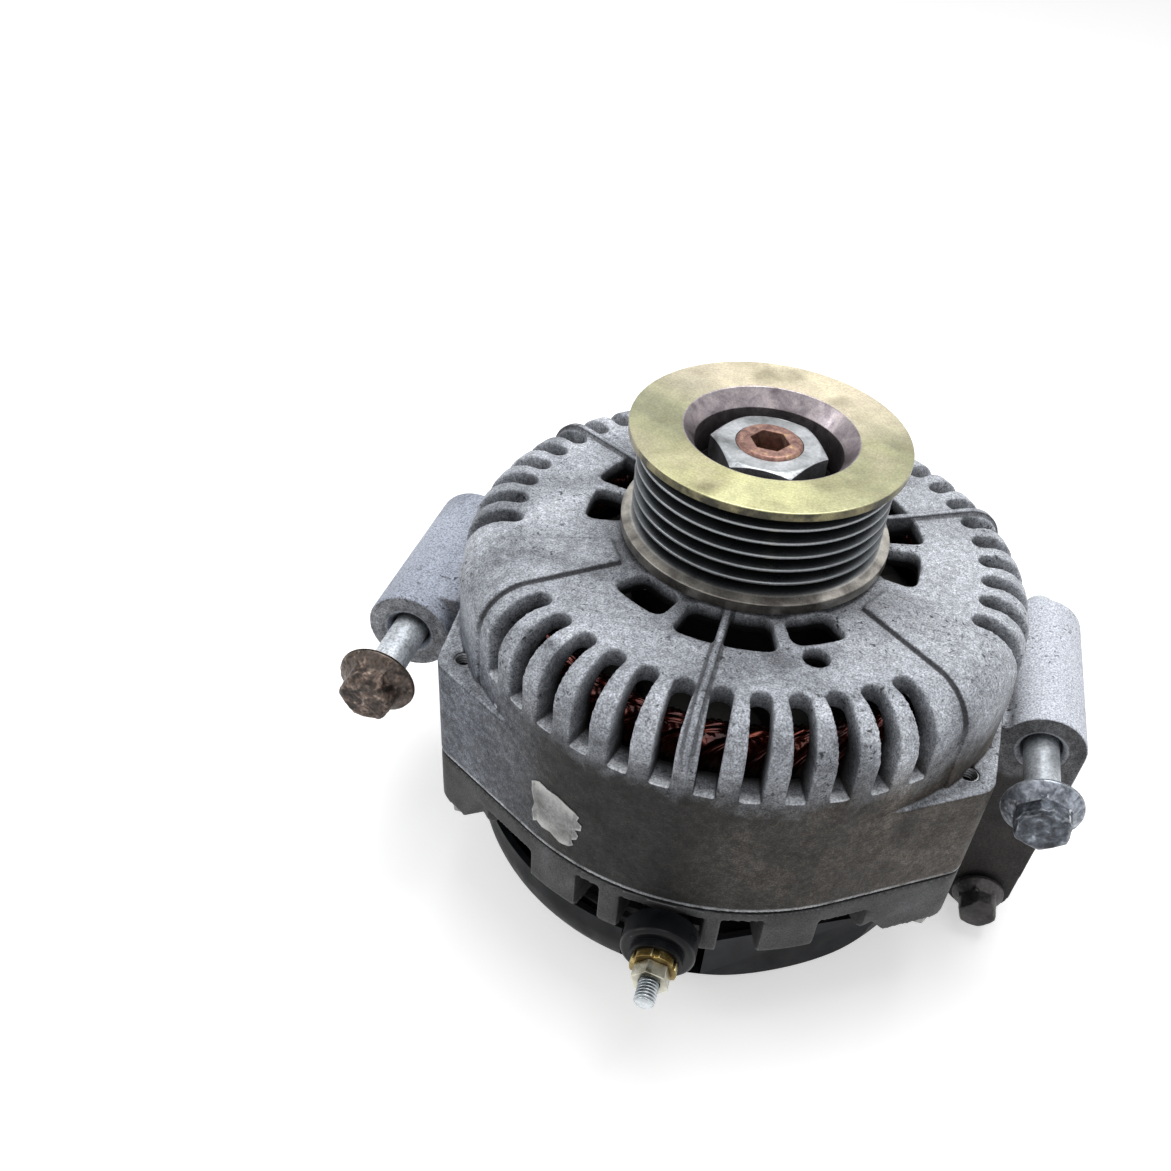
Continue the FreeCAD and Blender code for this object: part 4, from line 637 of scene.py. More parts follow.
def machined_face(at, across, height):
    # The bright faced end of a mounting tube, with the tool's rings round its bore
    aside = less(reckon("ABSOLUTE", across), TUBE_X)
    out = off_centre(aside, less(height, TUBE_Z))
    rings = reckon("SINE", times(out, TOOL_RINGS))
    worn = spread(noise(at, 300.0, 5.0, 0.6), 0.35, 0.66)
    left = blend(worn, tone(112, 113, 117), tone(172, 174, 179))
    right = blend(worn, tone(78, 78, 80), tone(122, 123, 126))
    metal = blend(reckon("GREATER_THAN", across, 0.0), left, right)
    metal = blend(spread(rings, 0.2, 1.0, 0.0, 0.3), metal, tone(60, 60, 62))
    return blend(spread(out, TUBE_MOUTH_R + 0.0003, TUBE_MOUTH_R, 0.0, 0.75), metal, tone(206, 209, 214))


def dome_colours(at):
    # Pale and speckled where it faces up, paler there as painted light; darker and browner down the skirt
    # from dirt and painted shade; painted shade inside, painted shadow at the feet of panels and ribs, and
    # painted highlights on the sills
    across, along, height = parts_of(at)
    radius = off_centre(across, along)
    facing = parts_of(put("NewGeometry", {}, at.id_data).outputs["Normal"])
    # Painted light: faces turned upward take the pale face tone
    upward = spread(facing[2], 0.45, 0.85)
    toward = spread(facing[1], -0.75, -0.95)
    wave = spread(noise(at, 110.0, 5.0, 0.8), 0.3, 0.7, -WAVE_Z, WAVE_Z)
    level = reckon("ADD", height, wave)
    face = ramp(
        noise(at, 48.0, 7.0, 0.7), (0.3, 112, 115, 121), (0.42, 150, 154, 161), (0.56, 176, 180, 188),
        (0.74, 200, 204, 211))
    # Painted light: the face brighter toward its right front
    lit = times(spread(across, *LIT_X, 0.0, 0.55), spread(along, *LIT_Y))
    face = blend(lit, face, tone(200, 204, 211))
    mottle = spread(noise(at, 640.0, 3.0), 0.36, 0.64, 0.80, 1.18)
    mottle = times(mottle, spread(noise(at, 2900.0, 1.0), 0.36, 0.64, 0.82, 1.16))
    stain = times(spread(radius, *STAIN_R), spread(noise(at, 75.0, 6.0, 0.8), 0.48, 0.64))
    face = blend(times(stain, 0.55), face, tone(88, 88, 92))
    # Painted light: the skirt paler and bluer on its left side
    left = spread(across, *LIT_SKIRT_X)
    # Dark skirt tones: dirt and painted shade
    skirt = ramp(noise(at, 34.0, 6.0, 0.9), (0.3, 26, 25, 24), (0.5, 38, 37, 36), (0.68, 58, 55, 52))
    browner = ramp(noise(at, 50.0, 6.0, 0.9), (0.3, 48, 44, 40), (0.5, 66, 61, 56), (0.68, 90, 84, 78))
    skirt = blend(spread(across, *BROWN_SIDE_X), skirt, browner)
    lit_left_skirt = ramp(noise(at, 40.0, 6.0, 0.7), (0.32, 92, 96, 104), (0.66, 126, 131, 141))
    skirt = blend(left, skirt, lit_left_skirt)
    skirt = blend(1.0, skirt, mottle, "MULTIPLY")
    skin = blend(reckon("MAXIMUM", spread(level, *FACE_START_Z), upward), skirt, face)
    skin = blend(1.0, skin, mottle, "MULTIPLY")
    # Painted shadow: dark lines along the feet of the raised panels and ribs
    foot = times(foot_shadow(across, along), spread(height, *FOOT_SHADOW_Z, 0.0, 0.92))
    skin = blend(foot, skin, tone(40, 40, 43))
    barrel = ramp(noise(at, 42.0, 5.0, 0.5), (0.32, 142, 147, 160), (0.66, 174, 180, 194))
    # Painted light: the right tube's barrel brighter
    barrel = blend(spread(across, 0.0, 0.01, 0.0, 0.8), barrel, tone(214, 218, 227))
    barrel = blend(toward, barrel, machined_face(at, across, height))
    outer = reckon("GREATER_THAN", reckon("ABSOLUTE", across), TUBE_START_X)
    skin = blend(outer, skin, barrel)
    # Painted shade: the arm below the tubes in dark tones
    shaded_arm = ramp(noise(at, 60.0, 6.0, 0.6), (0.32, 36, 34, 33), (0.66, 58, 55, 54))
    skin = blend(times(outer, spread(level, ARM_TOP_Z + 0.003, ARM_TOP_Z)), skin, shaded_arm)
    spots = noise(at, 900.0, 2.0, 0.4)
    where = spread(noise(at, 80.0, 4.0, 0.5), 0.46, 0.62)
    pocked = times(spread(spots, 0.6, 0.66), where)
    skin = blend(times(pocked, 0.85), skin, tone(40, 40, 42))
    # Painted shade: near black inside the casting, deeper under the skin
    depth = under_skin(radius, height)
    reach = spread(radius, KIDNEY_OUT_R, KIDNEY_OUT_R + 0.003, *SHADE_DEPTH)
    deep_shade = put("MapRange", {0: depth, 1: SHADE_START, 2: reach}).outputs[0]
    skin = blend(deep_shade, skin, tone(14, 14, 15))
    # Painted highlight on the up-facing sills at the slots' feet, and a bright band along the skirt's lower
    # rim
    sill_highlight = times(spread(facing[2], 0.55, 0.8), spread(radius, SILL_R, SILL_R + 0.0012))
    sill_highlight = times(sill_highlight, spread(height, *SILL_Z, 1.0, 0.0))
    sill_highlight = times(sill_highlight, spread(height, *SILL_FOOT_Z))
    rim = spread(height, SKIRT_RIM_Z, SKIRT_RIM_Z + 0.0006, 1.0, 0.0)
    rim = times(rim, less(1.0, outer))
    edge = times(
        reckon("MAXIMUM", sill_highlight, times(rim, 0.5)), spread(noise(at, 210.0, 4.0), 0.36, 0.54, 0.2, 1.0))
    return blend(edge, skin, tone(228, 231, 236))


def worn_and_shaded_skin(at):
    # Bright where the skin is rubbed, and greyer on the left tube as painted shade
    across = parts_of(at)[0]
    return blend(spread(across, TUBE_SHADE_X - 0.002, TUBE_SHADE_X), tone(182, 188, 200), tone(216, 219, 225))


drive_cast = finish(
    "drive_frame_cast", dome_colours, metallic=0.15, rough=(0.5, 0.7), grain=(2300.0, 0.42, 0.10),
    worn=(worn_and_shaded_skin, 0.565, 0.68), grime_and_shade=((26, 25, 25), 0.005, 0.75), pits=0.7, shine=0.25, crease=0.75)
drive_solid = welded("drive_end_frame")
drive_frame = as_cast(drive_solid, "drive_frame_casting", drive_cast, DRIVE_SKIN_STEP, DRIVE_SOFTENING)
fit(drive_frame, "housing", "cast_frame", "drive_end_frame")

# Face ribs
# Three thin ribs cross the dome from its hub, over the kidneys and the shoulder, down to the slots'
# feet. They are cast with the dome, and their edges stay crisp.

RIB_RISE = 0.001
RIB_SUNK = 0.0016
RIB_FOOT_Z = 0.0842
RIB_ROUND = 0.0002
BEND_STEPS = 16


def rib_path(rise):
    # The line of the dome's skin, raised or sunk by rise: out along the face and down the shoulder
    bend_r = DOME_R - SHOULDER_R
    bend_z = DOME_FACE_Z - SHOULDER_R
    size = SHOULDER_R + rise
    points = [(RIB_START_R, DOME_FACE_Z + rise)]
    for k in range(BEND_STEPS + 1):
        turn = math.pi / 2 * k / BEND_STEPS
        points.append((bend_r + size * math.sin(turn), bend_z + size * math.cos(turn)))
    return points + [(DOME_R + rise, RIB_FOOT_Z)]


def rib_colours(at):
    return blend(1.0, dome_colours(at), tone(226, 226, 227), "MULTIPLY")


ribs = bmesh.new()
section = [(rib_path(-RIB_SUNK), -RIB_HALF_W), (rib_path(RIB_RISE - RIB_ROUND), -RIB_HALF_W),
           (rib_path(RIB_RISE), RIB_ROUND - RIB_HALF_W), (rib_path(RIB_RISE), RIB_HALF_W - RIB_ROUND),
           (rib_path(RIB_RISE - RIB_ROUND), RIB_HALF_W), (rib_path(-RIB_SUNK), RIB_HALF_W)]
for angle in RIB_ANGLES:
    turned = Matrix.Rotation(math.radians(angle), 4, "Z")
    rows = [[ribs.verts.new(turned @ Vector((r, side, z))) for r, z in line] for line, side in section]
    join_rings(ribs, rows, looped=True, closed=False)
    ribs.faces.new([row[0] for row in rows])
    ribs.faces.new([row[-1] for row in rows])
face_out(ribs)
rib_cast = finish(
    "face_rib_cast", rib_colours, metallic=0.15, rough=(0.5, 0.7), grain=(2300.0, 0.42, 0.10),
    grime_and_shade=((26, 25, 25), 0.002, 0.5), pits=0.7, shine=0.25)
face_ribs = evened(shown(ribs, "face_ribs", rib_cast))
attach(face_ribs, "housing")

# Ear threads
# The through-bolts stop short of the ears' upper faces, so the ends of the tapped threads show in
# the holes. Each is a thin threaded lining of the casting's own metal.

EAR_PITCH_R = 0.071
EAR_THREAD_R = (0.00195, 0.00236, 0.00262)
EAR_THREAD_Z = (0.0723, 0.0756)
EAR_THREAD_PITCH = 0.0008
EAR_THREAD_SIDES = 40
EAR_THREAD_STEPS = 8
cut_metal = finish(
    "cut_metal", patches(200.0, (0.35, 126, 127, 130), (0.65, 184, 186, 190)), metallic=0.5,
    rough=(0.34, 0.5), grain=(1800.0, 0.2, 0.01), worn=((196, 198, 202), 0.52, 0.58),
    grime_and_shade=((20, 18, 16), 0.002, 0.8))
lining = bmesh.new()
crest, root, back = EAR_THREAD_R
count = int((EAR_THREAD_Z[1] - EAR_THREAD_Z[0]) / EAR_THREAD_PITCH * EAR_THREAD_STEPS)
for angle in EAR_ANGLES:
    centre = at_angle(EAR_PITCH_R, math.radians(angle))
    inner, outer = [], []
    for k in range(count + 1):
        z = EAR_THREAD_Z[0] + EAR_THREAD_PITCH / EAR_THREAD_STEPS * k
        inner.append([])
        outer.append([])
        for j in range(EAR_THREAD_SIDES):
            turn = (z / EAR_THREAD_PITCH - j / EAR_THREAD_SIDES) % 1.0
            radius = root - (root - crest) * (1 - abs(2 * turn - 1))
            way = at_angle(1.0, 2 * math.pi * j / EAR_THREAD_SIDES)
            inner[-1].append(lining.verts.new(centre + way * radius + Vector((0, 0, z))))
            outer[-1].append(lining.verts.new(centre + way * back + Vector((0, 0, z))))
    join_rings(lining, inner[::-1])
    join_rings(lining, outer)
    join_rings(lining, [inner[0], outer[0]], smooth=False)
    join_rings(lining, [outer[-1], inner[-1]], smooth=False)
threads = shown(lining, "ear_threads", cut_metal)
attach(threads, "housing")

# Foil scrap
# What is left of a torn metal foil on the front of the skirt. It is blank, thin and stuck flat, with
# a ragged edge and a few creases.

FOIL_LIFT = 0.00002
FOIL_CREASE = 0.00008
FOIL_T = 0.00016
FOIL_OUTLINE = (
    (-120.3, 65.2), (-119.3, 66.2), (-118.2, 66.9), (-116.0, 66.2), (-113.6, 66.3), (-111.6, 65.4),
    (-109.7, 64.6), (-108.5, 63.6), (-108.9, 62.1), (-107.8, 61.2), (-107.9, 59.5), (-109.2, 58.7),
    (-108.4, 57.1), (-108.7, 55.7), (-109.9, 54.6), (-109.3, 53.1), (-110.4, 51.8), (-112.5, 51.0),
    (-115.0, 52.4), (-117.2, 52.0), (-118.6, 52.9), (-119.6, 51.9), (-120.0, 55.5), (-119.4, 58.5),
    (-120.2, 61.5))
foil_metal = finish(
    "foil_metal", patches(160.0, (0.3, 92, 90, 87), (0.5, 126, 126, 126), (0.72, 158, 158, 157)),
    metallic=0.35, rough=(0.4, 0.6), grain=(1500.0, 0.25, 0.03), worn=((190, 190, 188), 0.52, 0.58),
    grime_and_shade=((50, 46, 42), 0.002, 0.7))
chance = random.Random(19)
scrap = bmesh.new()
rim = [scrap.verts.new((math.radians(angle), height / 1000, 0.0)) for angle, height in FOIL_OUTLINE]
bmesh.ops.triangulate(scrap, faces=[scrap.faces.new(rim)])
bmesh.ops.subdivide_edges(scrap, edges=scrap.edges[:], cuts=4, use_grid_fill=True)
for vert in scrap.verts:
    angle, height = vert.co.x, vert.co.y
    radius = DOME_R + FOIL_LIFT + chance.uniform(0.0, FOIL_CREASE)
    vert.co = at_angle(radius, angle, height)
face_out(scrap)
outside = bmesh.ops.extrude_face_region(scrap, geom=scrap.faces[:])
for item in outside["geom"]:
    if isinstance(item, bmesh.types.BMVert):
        item.co += Vector((item.co.x, item.co.y, 0.0)).normalized() * FOIL_T
face_out(scrap)
foil = shown(scrap, "foil_scrap", foil_metal)
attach(foil, "housing")

# Bearing retainer and its screws
# A pressed steel ring held by four small screws keeps the front bearing in its hub. Ring and screws
# are plain steel, dulled by dust and oil.

FINE_EDGE = 0.0002
plain_steel = finish(
    "plain_steel", patches(80.0, (0.35, 104, 103, 102), (0.65, 140, 139, 138)), rough=(0.34, 0.5),
    grain=(1700.0, 0.12, 0.012), worn=((186, 186, 186), 0.53, 0.6), grime_and_shade=((34, 28, 22), 0.005, 0.75))
for node in ("bearing_retainer", "retainer_screws"):
    worked(node, "eased", plain_steel, FINE_EDGE, "housing", "machine_steel")

# Shaft collar
# A plain spacer turned from steel bar. It sits on the shaft between the front bearing and the
# pulley, and the pulley nut clamps all three.

worked("shaft_collar", "turned", plain_steel, FINE_EDGE, "rotor", "machine_steel")

# Pulley
# Turned steel with six belt grooves, plated in yellow zinc. The belt has blackened the grooves and
# polished their crests, the recess has gone pinkish, and the rear flange is dull with dirt. The face
# carries a painted reflection, and the deep recess and the front of the rear flange carry painted shade.

PULLEY_EDGE = 0.00022
PULLEY_FACE_Z = 0.132
RECESS_MOUTH_R = 0.0203
CREST_R = 0.0301
ROOT_R = 0.0272
BACK_FLANGE_Z = 0.1085
FRONT_FLANGE_Z = (0.1289, 0.1293)
RECESS_SHADE_Z = (0.1186, 0.1262)


def pulley_colours(at):
    across, along, height = parts_of(at)
    radius = off_centre(across, along)
    # Painted reflection: the face brighter across its front and back, dimmer at the sides, pinkish at the
    # back
    bright = ramp(
        noise(at, 24.0, 4.0, 1.4), (0.3, 180, 181, 138), (0.45, 208, 207, 160), (0.58, 199, 196, 149),
        (0.72, 208, 194, 166))
    dim = ramp(noise(at, 30.0, 5.0, 1.0), (0.3, 140, 142, 120), (0.5, 168, 168, 134), (0.7, 186, 178, 152))
    lobe = reckon("DIVIDE", along, radius)
    face = blend(spread(times(lobe, lobe), 0.25, 0.95), dim, bright)
    far_reflection = times(spread(lobe, 0.1, 0.8), 0.6)
    face = blend(far_reflection, face, tone(246, 230, 210))
    turning = noise(put("CombineXYZ", {0: times(radius, 40.0)}).outputs[0], 60.0, 2.0)
    face = blend(spread(turning, 0.5, 0.7, 0.0, 0.22), face, tone(120, 116, 92))
    dulled = ramp(noise(at, 60.0, 6.0, 0.5), (0.35, 104, 96, 74), (0.65, 160, 154, 122))
    face = blend(spread(noise(at, 90.0, 5.0), 0.52, 0.72, 0.0, 0.6), face, dulled)
    recess = ramp(
        noise(at, 260.0, 6.0, 0.8), (0.3, 116, 108, 112), (0.46, 148, 140, 144), (0.6, 166, 158, 161),
        (0.76, 192, 176, 178))
    belt = ramp(spread(radius, ROOT_R, CREST_R + 0.0002),
                (0.0, 30, 31, 33), (0.6, 78, 82, 86), (0.9, 118, 122, 126), (1.0, 214, 216, 216))
    back = ramp(noise(at, 160.0, 6.0, 0.6),
                (0.32, 104, 100, 96), (0.48, 158, 154, 148), (0.6, 190, 186, 177), (0.74, 224, 220, 210))
    # Painted shade: the rear flange darker on its front side
    back = blend(spread(lobe, 0.2, -0.9, 0.0, 0.5), back, tone(66, 62, 60))
    colour = blend(spread(height, BACK_FLANGE_Z - 0.0004, BACK_FLANGE_Z), back, belt)
    rim_side = blend(spread(noise(at, 200.0, 4.0), 0.4, 0.6), tone(66, 64, 56), tone(128, 122, 94))
    colour = blend(spread(height, *FRONT_FLANGE_Z), colour, rim_side)
    colour = blend(spread(height, PULLEY_FACE_Z - 0.0003, PULLEY_FACE_Z - 0.0001), colour, face)
    inside = spread(radius, RECESS_MOUTH_R, RECESS_MOUTH_R + 0.0002, 1.0, 0.0)
    colour = blend(inside, colour, recess)
    # Painted shade: dark deep in the recess
    deep_shade = spread(height, *RECESS_SHADE_Z, 1.0, 0.0)
    return blend(times(inside, deep_shade), colour, tone(40, 38, 38))


pulley_zinc = finish(
    "pulley_zinc", pulley_colours, metallic=0.9, rough=(0.26, 0.44), grain=(2300.0, 0.15, 0.014),
    worn=((226, 222, 196), 0.54, 0.66), grime_and_shade=((34, 30, 24), 0.004, 0.5))
worked("pulley", "turned", pulley_zinc, PULLEY_EDGE, "rotor", "yellow_zinc_steel")

# Pulley nut
# A zinc-plated hexagon nut of steel on the shaft's threaded nose, which clamps the pulley. Its zinc
# has greyed and is rubbed at the corners.

NUT_EDGE = 0.0005
nut_zinc = finish(
    "nut_zinc",
    patches(110.0, (0.28, 96, 98, 98), (0.45, 150, 154, 157), (0.62, 178, 182, 186), (0.78, 204, 207, 210)),
    metallic=0.85, rough=(0.28, 0.5), grain=(1300.0, 0.2, 0.02), worn=((224, 226, 228), 0.53, 0.6),
    grime_and_shade=((60, 52, 42), 0.004, 0.7))
worked("pulley_nut", "plated", nut_zinc, NUT_EDGE, "rotor", "zinc_steel")

# Through-bolts
# Three long bolts of plain steel pass up through the rear ears and screw into the drive-end frame,
# so that the two castings clamp the stator core.

worked("through_bolts", "eased", plain_steel, NUT_EDGE, "housing", "machine_steel")

# Brushes, springs and holder
# Two carbon-copper brushes slide in a moulded holder, pressed on the slip rings by wire springs. A
# spring of hard steel wire gives way as its brush moves.

BRUSH_EDGE = 0.0003
carbon = finish(
    "brush_carbon", patches(200.0, (0.35, 34, 33, 33), (0.65, 58, 55, 53)), metallic=0.2,
    rough=(0.5, 0.66), grain=(2600.0, 0.25, 0.015), worn=((96, 86, 80), 0.53, 0.6))
spring_wire = finish(
    "spring_wire", patches(160.0, (0.35, 132, 132, 134), (0.65, 176, 176, 178)), rough=(0.22, 0.34),
    grain=(2200.0, 0.08, 0.004), grime_and_shade=((40, 30, 22), 0.002, 0.6))
for side in ("upper", "lower"):
    worked(side + "_brush", "eased", carbon, BRUSH_EDGE, side + "_brush_body", "carbon")
    spring = shown(welded(side + "_brush_spring"), side + "_brush_spring_wound", spring_wire)
    fit(spring, "housing", "spring_steel", side + "_brush_spring")
    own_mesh(spring)
dark_moulding = finish(
    "dark_moulding", patches(70.0, (0.3, 30, 29, 29), (0.55, 44, 43, 43), (0.75, 62, 60, 58)),
    metallic=0.0, rough=(0.42, 0.6), grain=(1500.0, 0.14, 0.018), worn=((92, 90, 88), 0.54, 0.62),
    grime_and_shade=((58, 50, 42), 0.004, 0.5))
worked("brush_holder", "moulded", dark_moulding, BRUSH_EDGE, "housing", "dark_plastic")

# Rectifier
# Two aluminium crescents hold six diodes each, with a moulded terminal board between them. Steel
# studs, insulating bushes and nuts stack the whole on the rear frame.

PLATE_EDGE = 0.0004
plate_aluminium = finish(
    "plate_aluminium", patches(60.0, (0.35, 132, 134, 137), (0.65, 168, 170, 173)), metallic=0.85,
    rough=(0.36, 0.52), grain=(1500.0, 0.1, 0.012), worn=((208, 210, 212), 0.53, 0.6),
    grime_and_shade=((44, 36, 28), 0.006, 0.7))
for node in ("negative_heat_sink", "positive_heat_sink"):
    worked(node, "stamped", plate_aluminium, PLATE_EDGE, "housing", "plate_aluminium")
for node in ("negative_diodes", "positive_diodes"):
    worked(node, "cans", nut_zinc, FINE_EDGE, "housing", "zinc_steel")
worked("terminal_board", "moulded", dark_moulding, PLATE_EDGE, "housing", "dark_plastic")
worked("rectifier_bushes", "moulded", bobbin_nylon, FINE_EDGE, "housing", "natural_plastic")
for node in ("cover_studs", "rectifier_nuts", "cover_nuts"):
    worked(node, "plated", nut_zinc, FINE_EDGE, "housing", "zinc_steel")

# Voltage regulator and connector
# A potted module with cooling fins, screwed to the rear frame beside the brushes, and the moulded
# socket that carries its three pins.

MOULDED_EDGE = 0.0005
PIN_EDGE = 0.0002
worked("voltage_regulator", "moulded", dark_moulding, MOULDED_EDGE, "housing", "dark_plastic")
worked("regulator_screws", "plated", nut_zinc, FINE_EDGE, "housing", "zinc_steel")
black_moulding = finish(
    "black_moulding", patches(55.0, (0.3, 9, 10, 12), (0.55, 16, 18, 21), (0.75, 29, 31, 34)),
    metallic=0.0, rough=(0.4, 0.6), grain=(1700.0, 0.12, 0.016), worn=((84, 86, 90), 0.54, 0.62),
    grime_and_shade=((30, 28, 26), 0.006, 0.4), shine=0.12)
worked("connector_socket", "moulded", black_moulding, MOULDED_EDGE, "housing", "black_plastic")
pin_brass = finish(
    "pin_brass", patches(300.0, (0.35, 168, 132, 62), (0.65, 208, 176, 98)), rough=(0.2, 0.34),
    grain=(2400.0, 0.08, 0.004), grime_and_shade=((52, 38, 20), 0.002, 0.6))
worked("connector_pins", "stamped", pin_brass, PIN_EDGE, "housing", "brass_plated")

# Output terminal
# A threaded zinc-plated stud stands out of a black moulded boss between two fingers, fed by a copper
# bar. A lobed yellow-zinc flange nut and a small hexagon nut hold the cable's eye.

BOSS_EDGE = 0.00045
TERMINAL_ANGLE = -89.0
TERMINAL_Z = 0.036
STUD_R = 0.0025
STUD_PITCH = 0.0008
STUD_THREAD = (0.0642, 0.0905)
THREAD_SIDES = 36
THREAD_STEPS = 8
THREAD_LAP = 0.0004


def add_thread(body, crest, pitch, start, end, place):
    # A helical thread along Z from start to end with a chamfered nose, set where place says
    depth = pitch * 0.6
    count = int(round((end - start) / pitch * THREAD_STEPS))
    rings = []
    for k in range(count + 1):
        z = start + (end - start) * k / count
        nose = crest - depth * 1.1 + (end - z)
        ring = []
        for s in range(THREAD_SIDES):
            turn = (z / pitch - s / THREAD_SIDES) % 1.0
            rise = min(1.0, max(0.0, (1 - abs(2 * turn - 1) - 0.14) / 0.72))
            radius = min(crest - depth * (1 - rise), nose)
            angle = 2 * math.pi * s / THREAD_SIDES
            ring.append(body.verts.new(place @ at_angle(radius, angle, z)))
        rings.append(ring)
    join_rings(body, rings)
    body.faces.new(rings[0][::-1])
    body.faces.new(rings[-1])


def cut_off(body, point, direction):
    # Takes away what lies beyond the plane and closes the end
    bmesh.ops.bisect_plane(
        body, geom=body.verts[:] + body.edges[:] + body.faces[:], plane_co=point, plane_no=direction,
        clear_outer=True, dist=1e-7)
    bmesh.ops.holes_fill(body, edges=[e for e in body.edges if e.is_boundary], sides=0)


outward = Matrix.Translation((0, 0, TERMINAL_Z)) @ Matrix.Rotation(math.radians(TERMINAL_ANGLE), 4, "Z")
outward = outward @ Matrix.Rotation(math.radians(90), 4, "Y")
stud_body = eased_body("b_plus_stud", FINE_EDGE)
start = outward @ Vector((0, 0, STUD_THREAD[0] + THREAD_LAP))
cut_off(stud_body, start, outward.to_3x3() @ Vector((0, 0, 1)))
add_thread(stud_body, STUD_R, STUD_PITCH, *STUD_THREAD, outward)
# Grime and crease darkening strong enough to paint the thread's roots dark as shade
stud_zinc = finish(
    "stud_zinc", patches(260.0, (0.3, 84, 90, 94), (0.5, 138, 146, 150), (0.72, 206, 212, 216)),
    metallic=1.0, rough=(0.16, 0.3), grain=(2400.0, 0.12, 0.008), worn=((236, 240, 242), 0.54, 0.62),
    grime_and_shade=((18, 20, 22), 0.0012, 0.95), crease=0.95)
fit(evened(shown(stud_body, "b_plus_stud_threaded", stud_zinc)), "housing", "zinc_steel", "b_plus_stud")
bar_copper = finish(
    "bar_copper", patches(90.0, (0.35, 132, 76, 48), (0.65, 186, 118, 80)), rough=(0.3, 0.46),
    grain=(1500.0, 0.12, 0.01), grime_and_shade=((40, 24, 16), 0.004, 0.7))
worked("b_plus_bar", "bent", bar_copper, FINE_EDGE, "housing", "bare_copper")
boss_moulding = finish(
    "boss_moulding", patches(90.0, (0.3, 4, 5, 8), (0.55, 9, 11, 15), (0.75, 21, 24, 31)),
    metallic=0.0, rough=(0.26, 0.46), grain=(1700.0, 0.15, 0.02), worn=((66, 70, 79), 0.54, 0.64),
    grime_and_shade=((4, 5, 6), 0.004, 0.85), shine=0.2)
worked("b_plus_insulator", "moulded", boss_moulding, BOSS_EDGE, "housing", "black_plastic")
yellow_zinc = finish(
    "yellow_zinc", patches(240.0, (0.3, 58, 42, 20), (0.5, 112, 90, 44), (0.72, 184, 164, 108)),
    metallic=0.95, rough=(0.22, 0.4), grain=(2200.0, 0.14, 0.01), worn=((230, 216, 164), 0.54, 0.62),
    grime_and_shade=((30, 21, 10), 0.003, 0.95))
worked("b_plus_flange_nut", "plated", yellow_zinc, FINE_EDGE, "housing", "yellow_zinc_steel")
pale_zinc = finish(
    "pale_zinc", patches(300.0, (0.3, 58, 54, 42), (0.5, 106, 102, 84), (0.72, 168, 165, 146)),
    metallic=0.9, rough=(0.22, 0.4), grain=(2200.0, 0.14, 0.01), worn=((240, 238, 222), 0.52, 0.58),
    grime_and_shade=((46, 36, 22), 0.003, 0.8))
worked("b_plus_hex_nut", "plated", pale_zinc, FINE_EDGE, "housing", "yellow_zinc_steel")

# Rear cover
# A bowl moulded in black plastic over the rectifier, with ten air slots and a well for each of the
# four nuts that hold it on its studs.

COVER_EDGE = 0.0005
worked("rear_cover", "moulded", black_moulding, COVER_EDGE, "housing", "black_plastic")

# Mounting bolts
# Flanged hexagon bolts pushed part way into the two tubes and the arm. The left head is rusty brown,
# the right one blue-grey zinc, and the small lower one is dark with grime.

BOLT_EDGE = 0.0006
HEAD_STEP = 0.00026
HEAD_SOFTENING = 3
LUMP_SCALE = 650.0
HEAD_WORN_L = 0.0012
HEAD_WORN_SHARE = 0.92
HEAD_ROUND = 0.905
FLANGE_DEPTH = 0.0037
NOSE_EDGE = 0.0002
HEAD_LAP = 0.0001
SHANK_LAP = 0.0006
END_LAP = 0.0002
LEFT_SHANK_Y = -0.041
RIGHT_SHANK_Y = -0.030
LOWER_SHANK_Y = -0.0125
LEFT_THREAD_Y = (0.013, 0.0341)
RIGHT_THREAD_Y = (0.024, 0.0451)
LOWER_THREAD_Y = (0.0035, 0.0159)
LEFT_RUST = 0.00026
RIGHT_RUST = 0.00012
LOWER_RUST = 0.00016
ARM_Z = 0.009
BIG_THREAD = (0.0049, 0.0015)
SMALL_THREAD = (0.0030, 0.001)


def bolt_colours(shank_y, head, flange):
    # The head's own tones, a flange of its own made lighter as painted light, and bright plated steel along
    # the shank
    def colouring(at):
        depth = parts_of(at)[1]
        shank = ramp(
            noise(at, 110.0, 5.0, 0.4), (0.3, 160, 165, 170), (0.5, 196, 202, 208), (0.7, 216, 221, 226))
        # Painted light: the flange's lighter tone
        plate = blend(spread(noise(at, 420.0, 5.0, 0.5), 0.38, 0.6), tone(*flange), head(at))
        foot = shank_y - FLANGE_DEPTH
        front = blend(spread(depth, foot - 0.0003, foot), head(at), plate)
        return blend(spread(depth, shank_y - 0.0001, shank_y + 0.0002), front, shank)
    return colouring


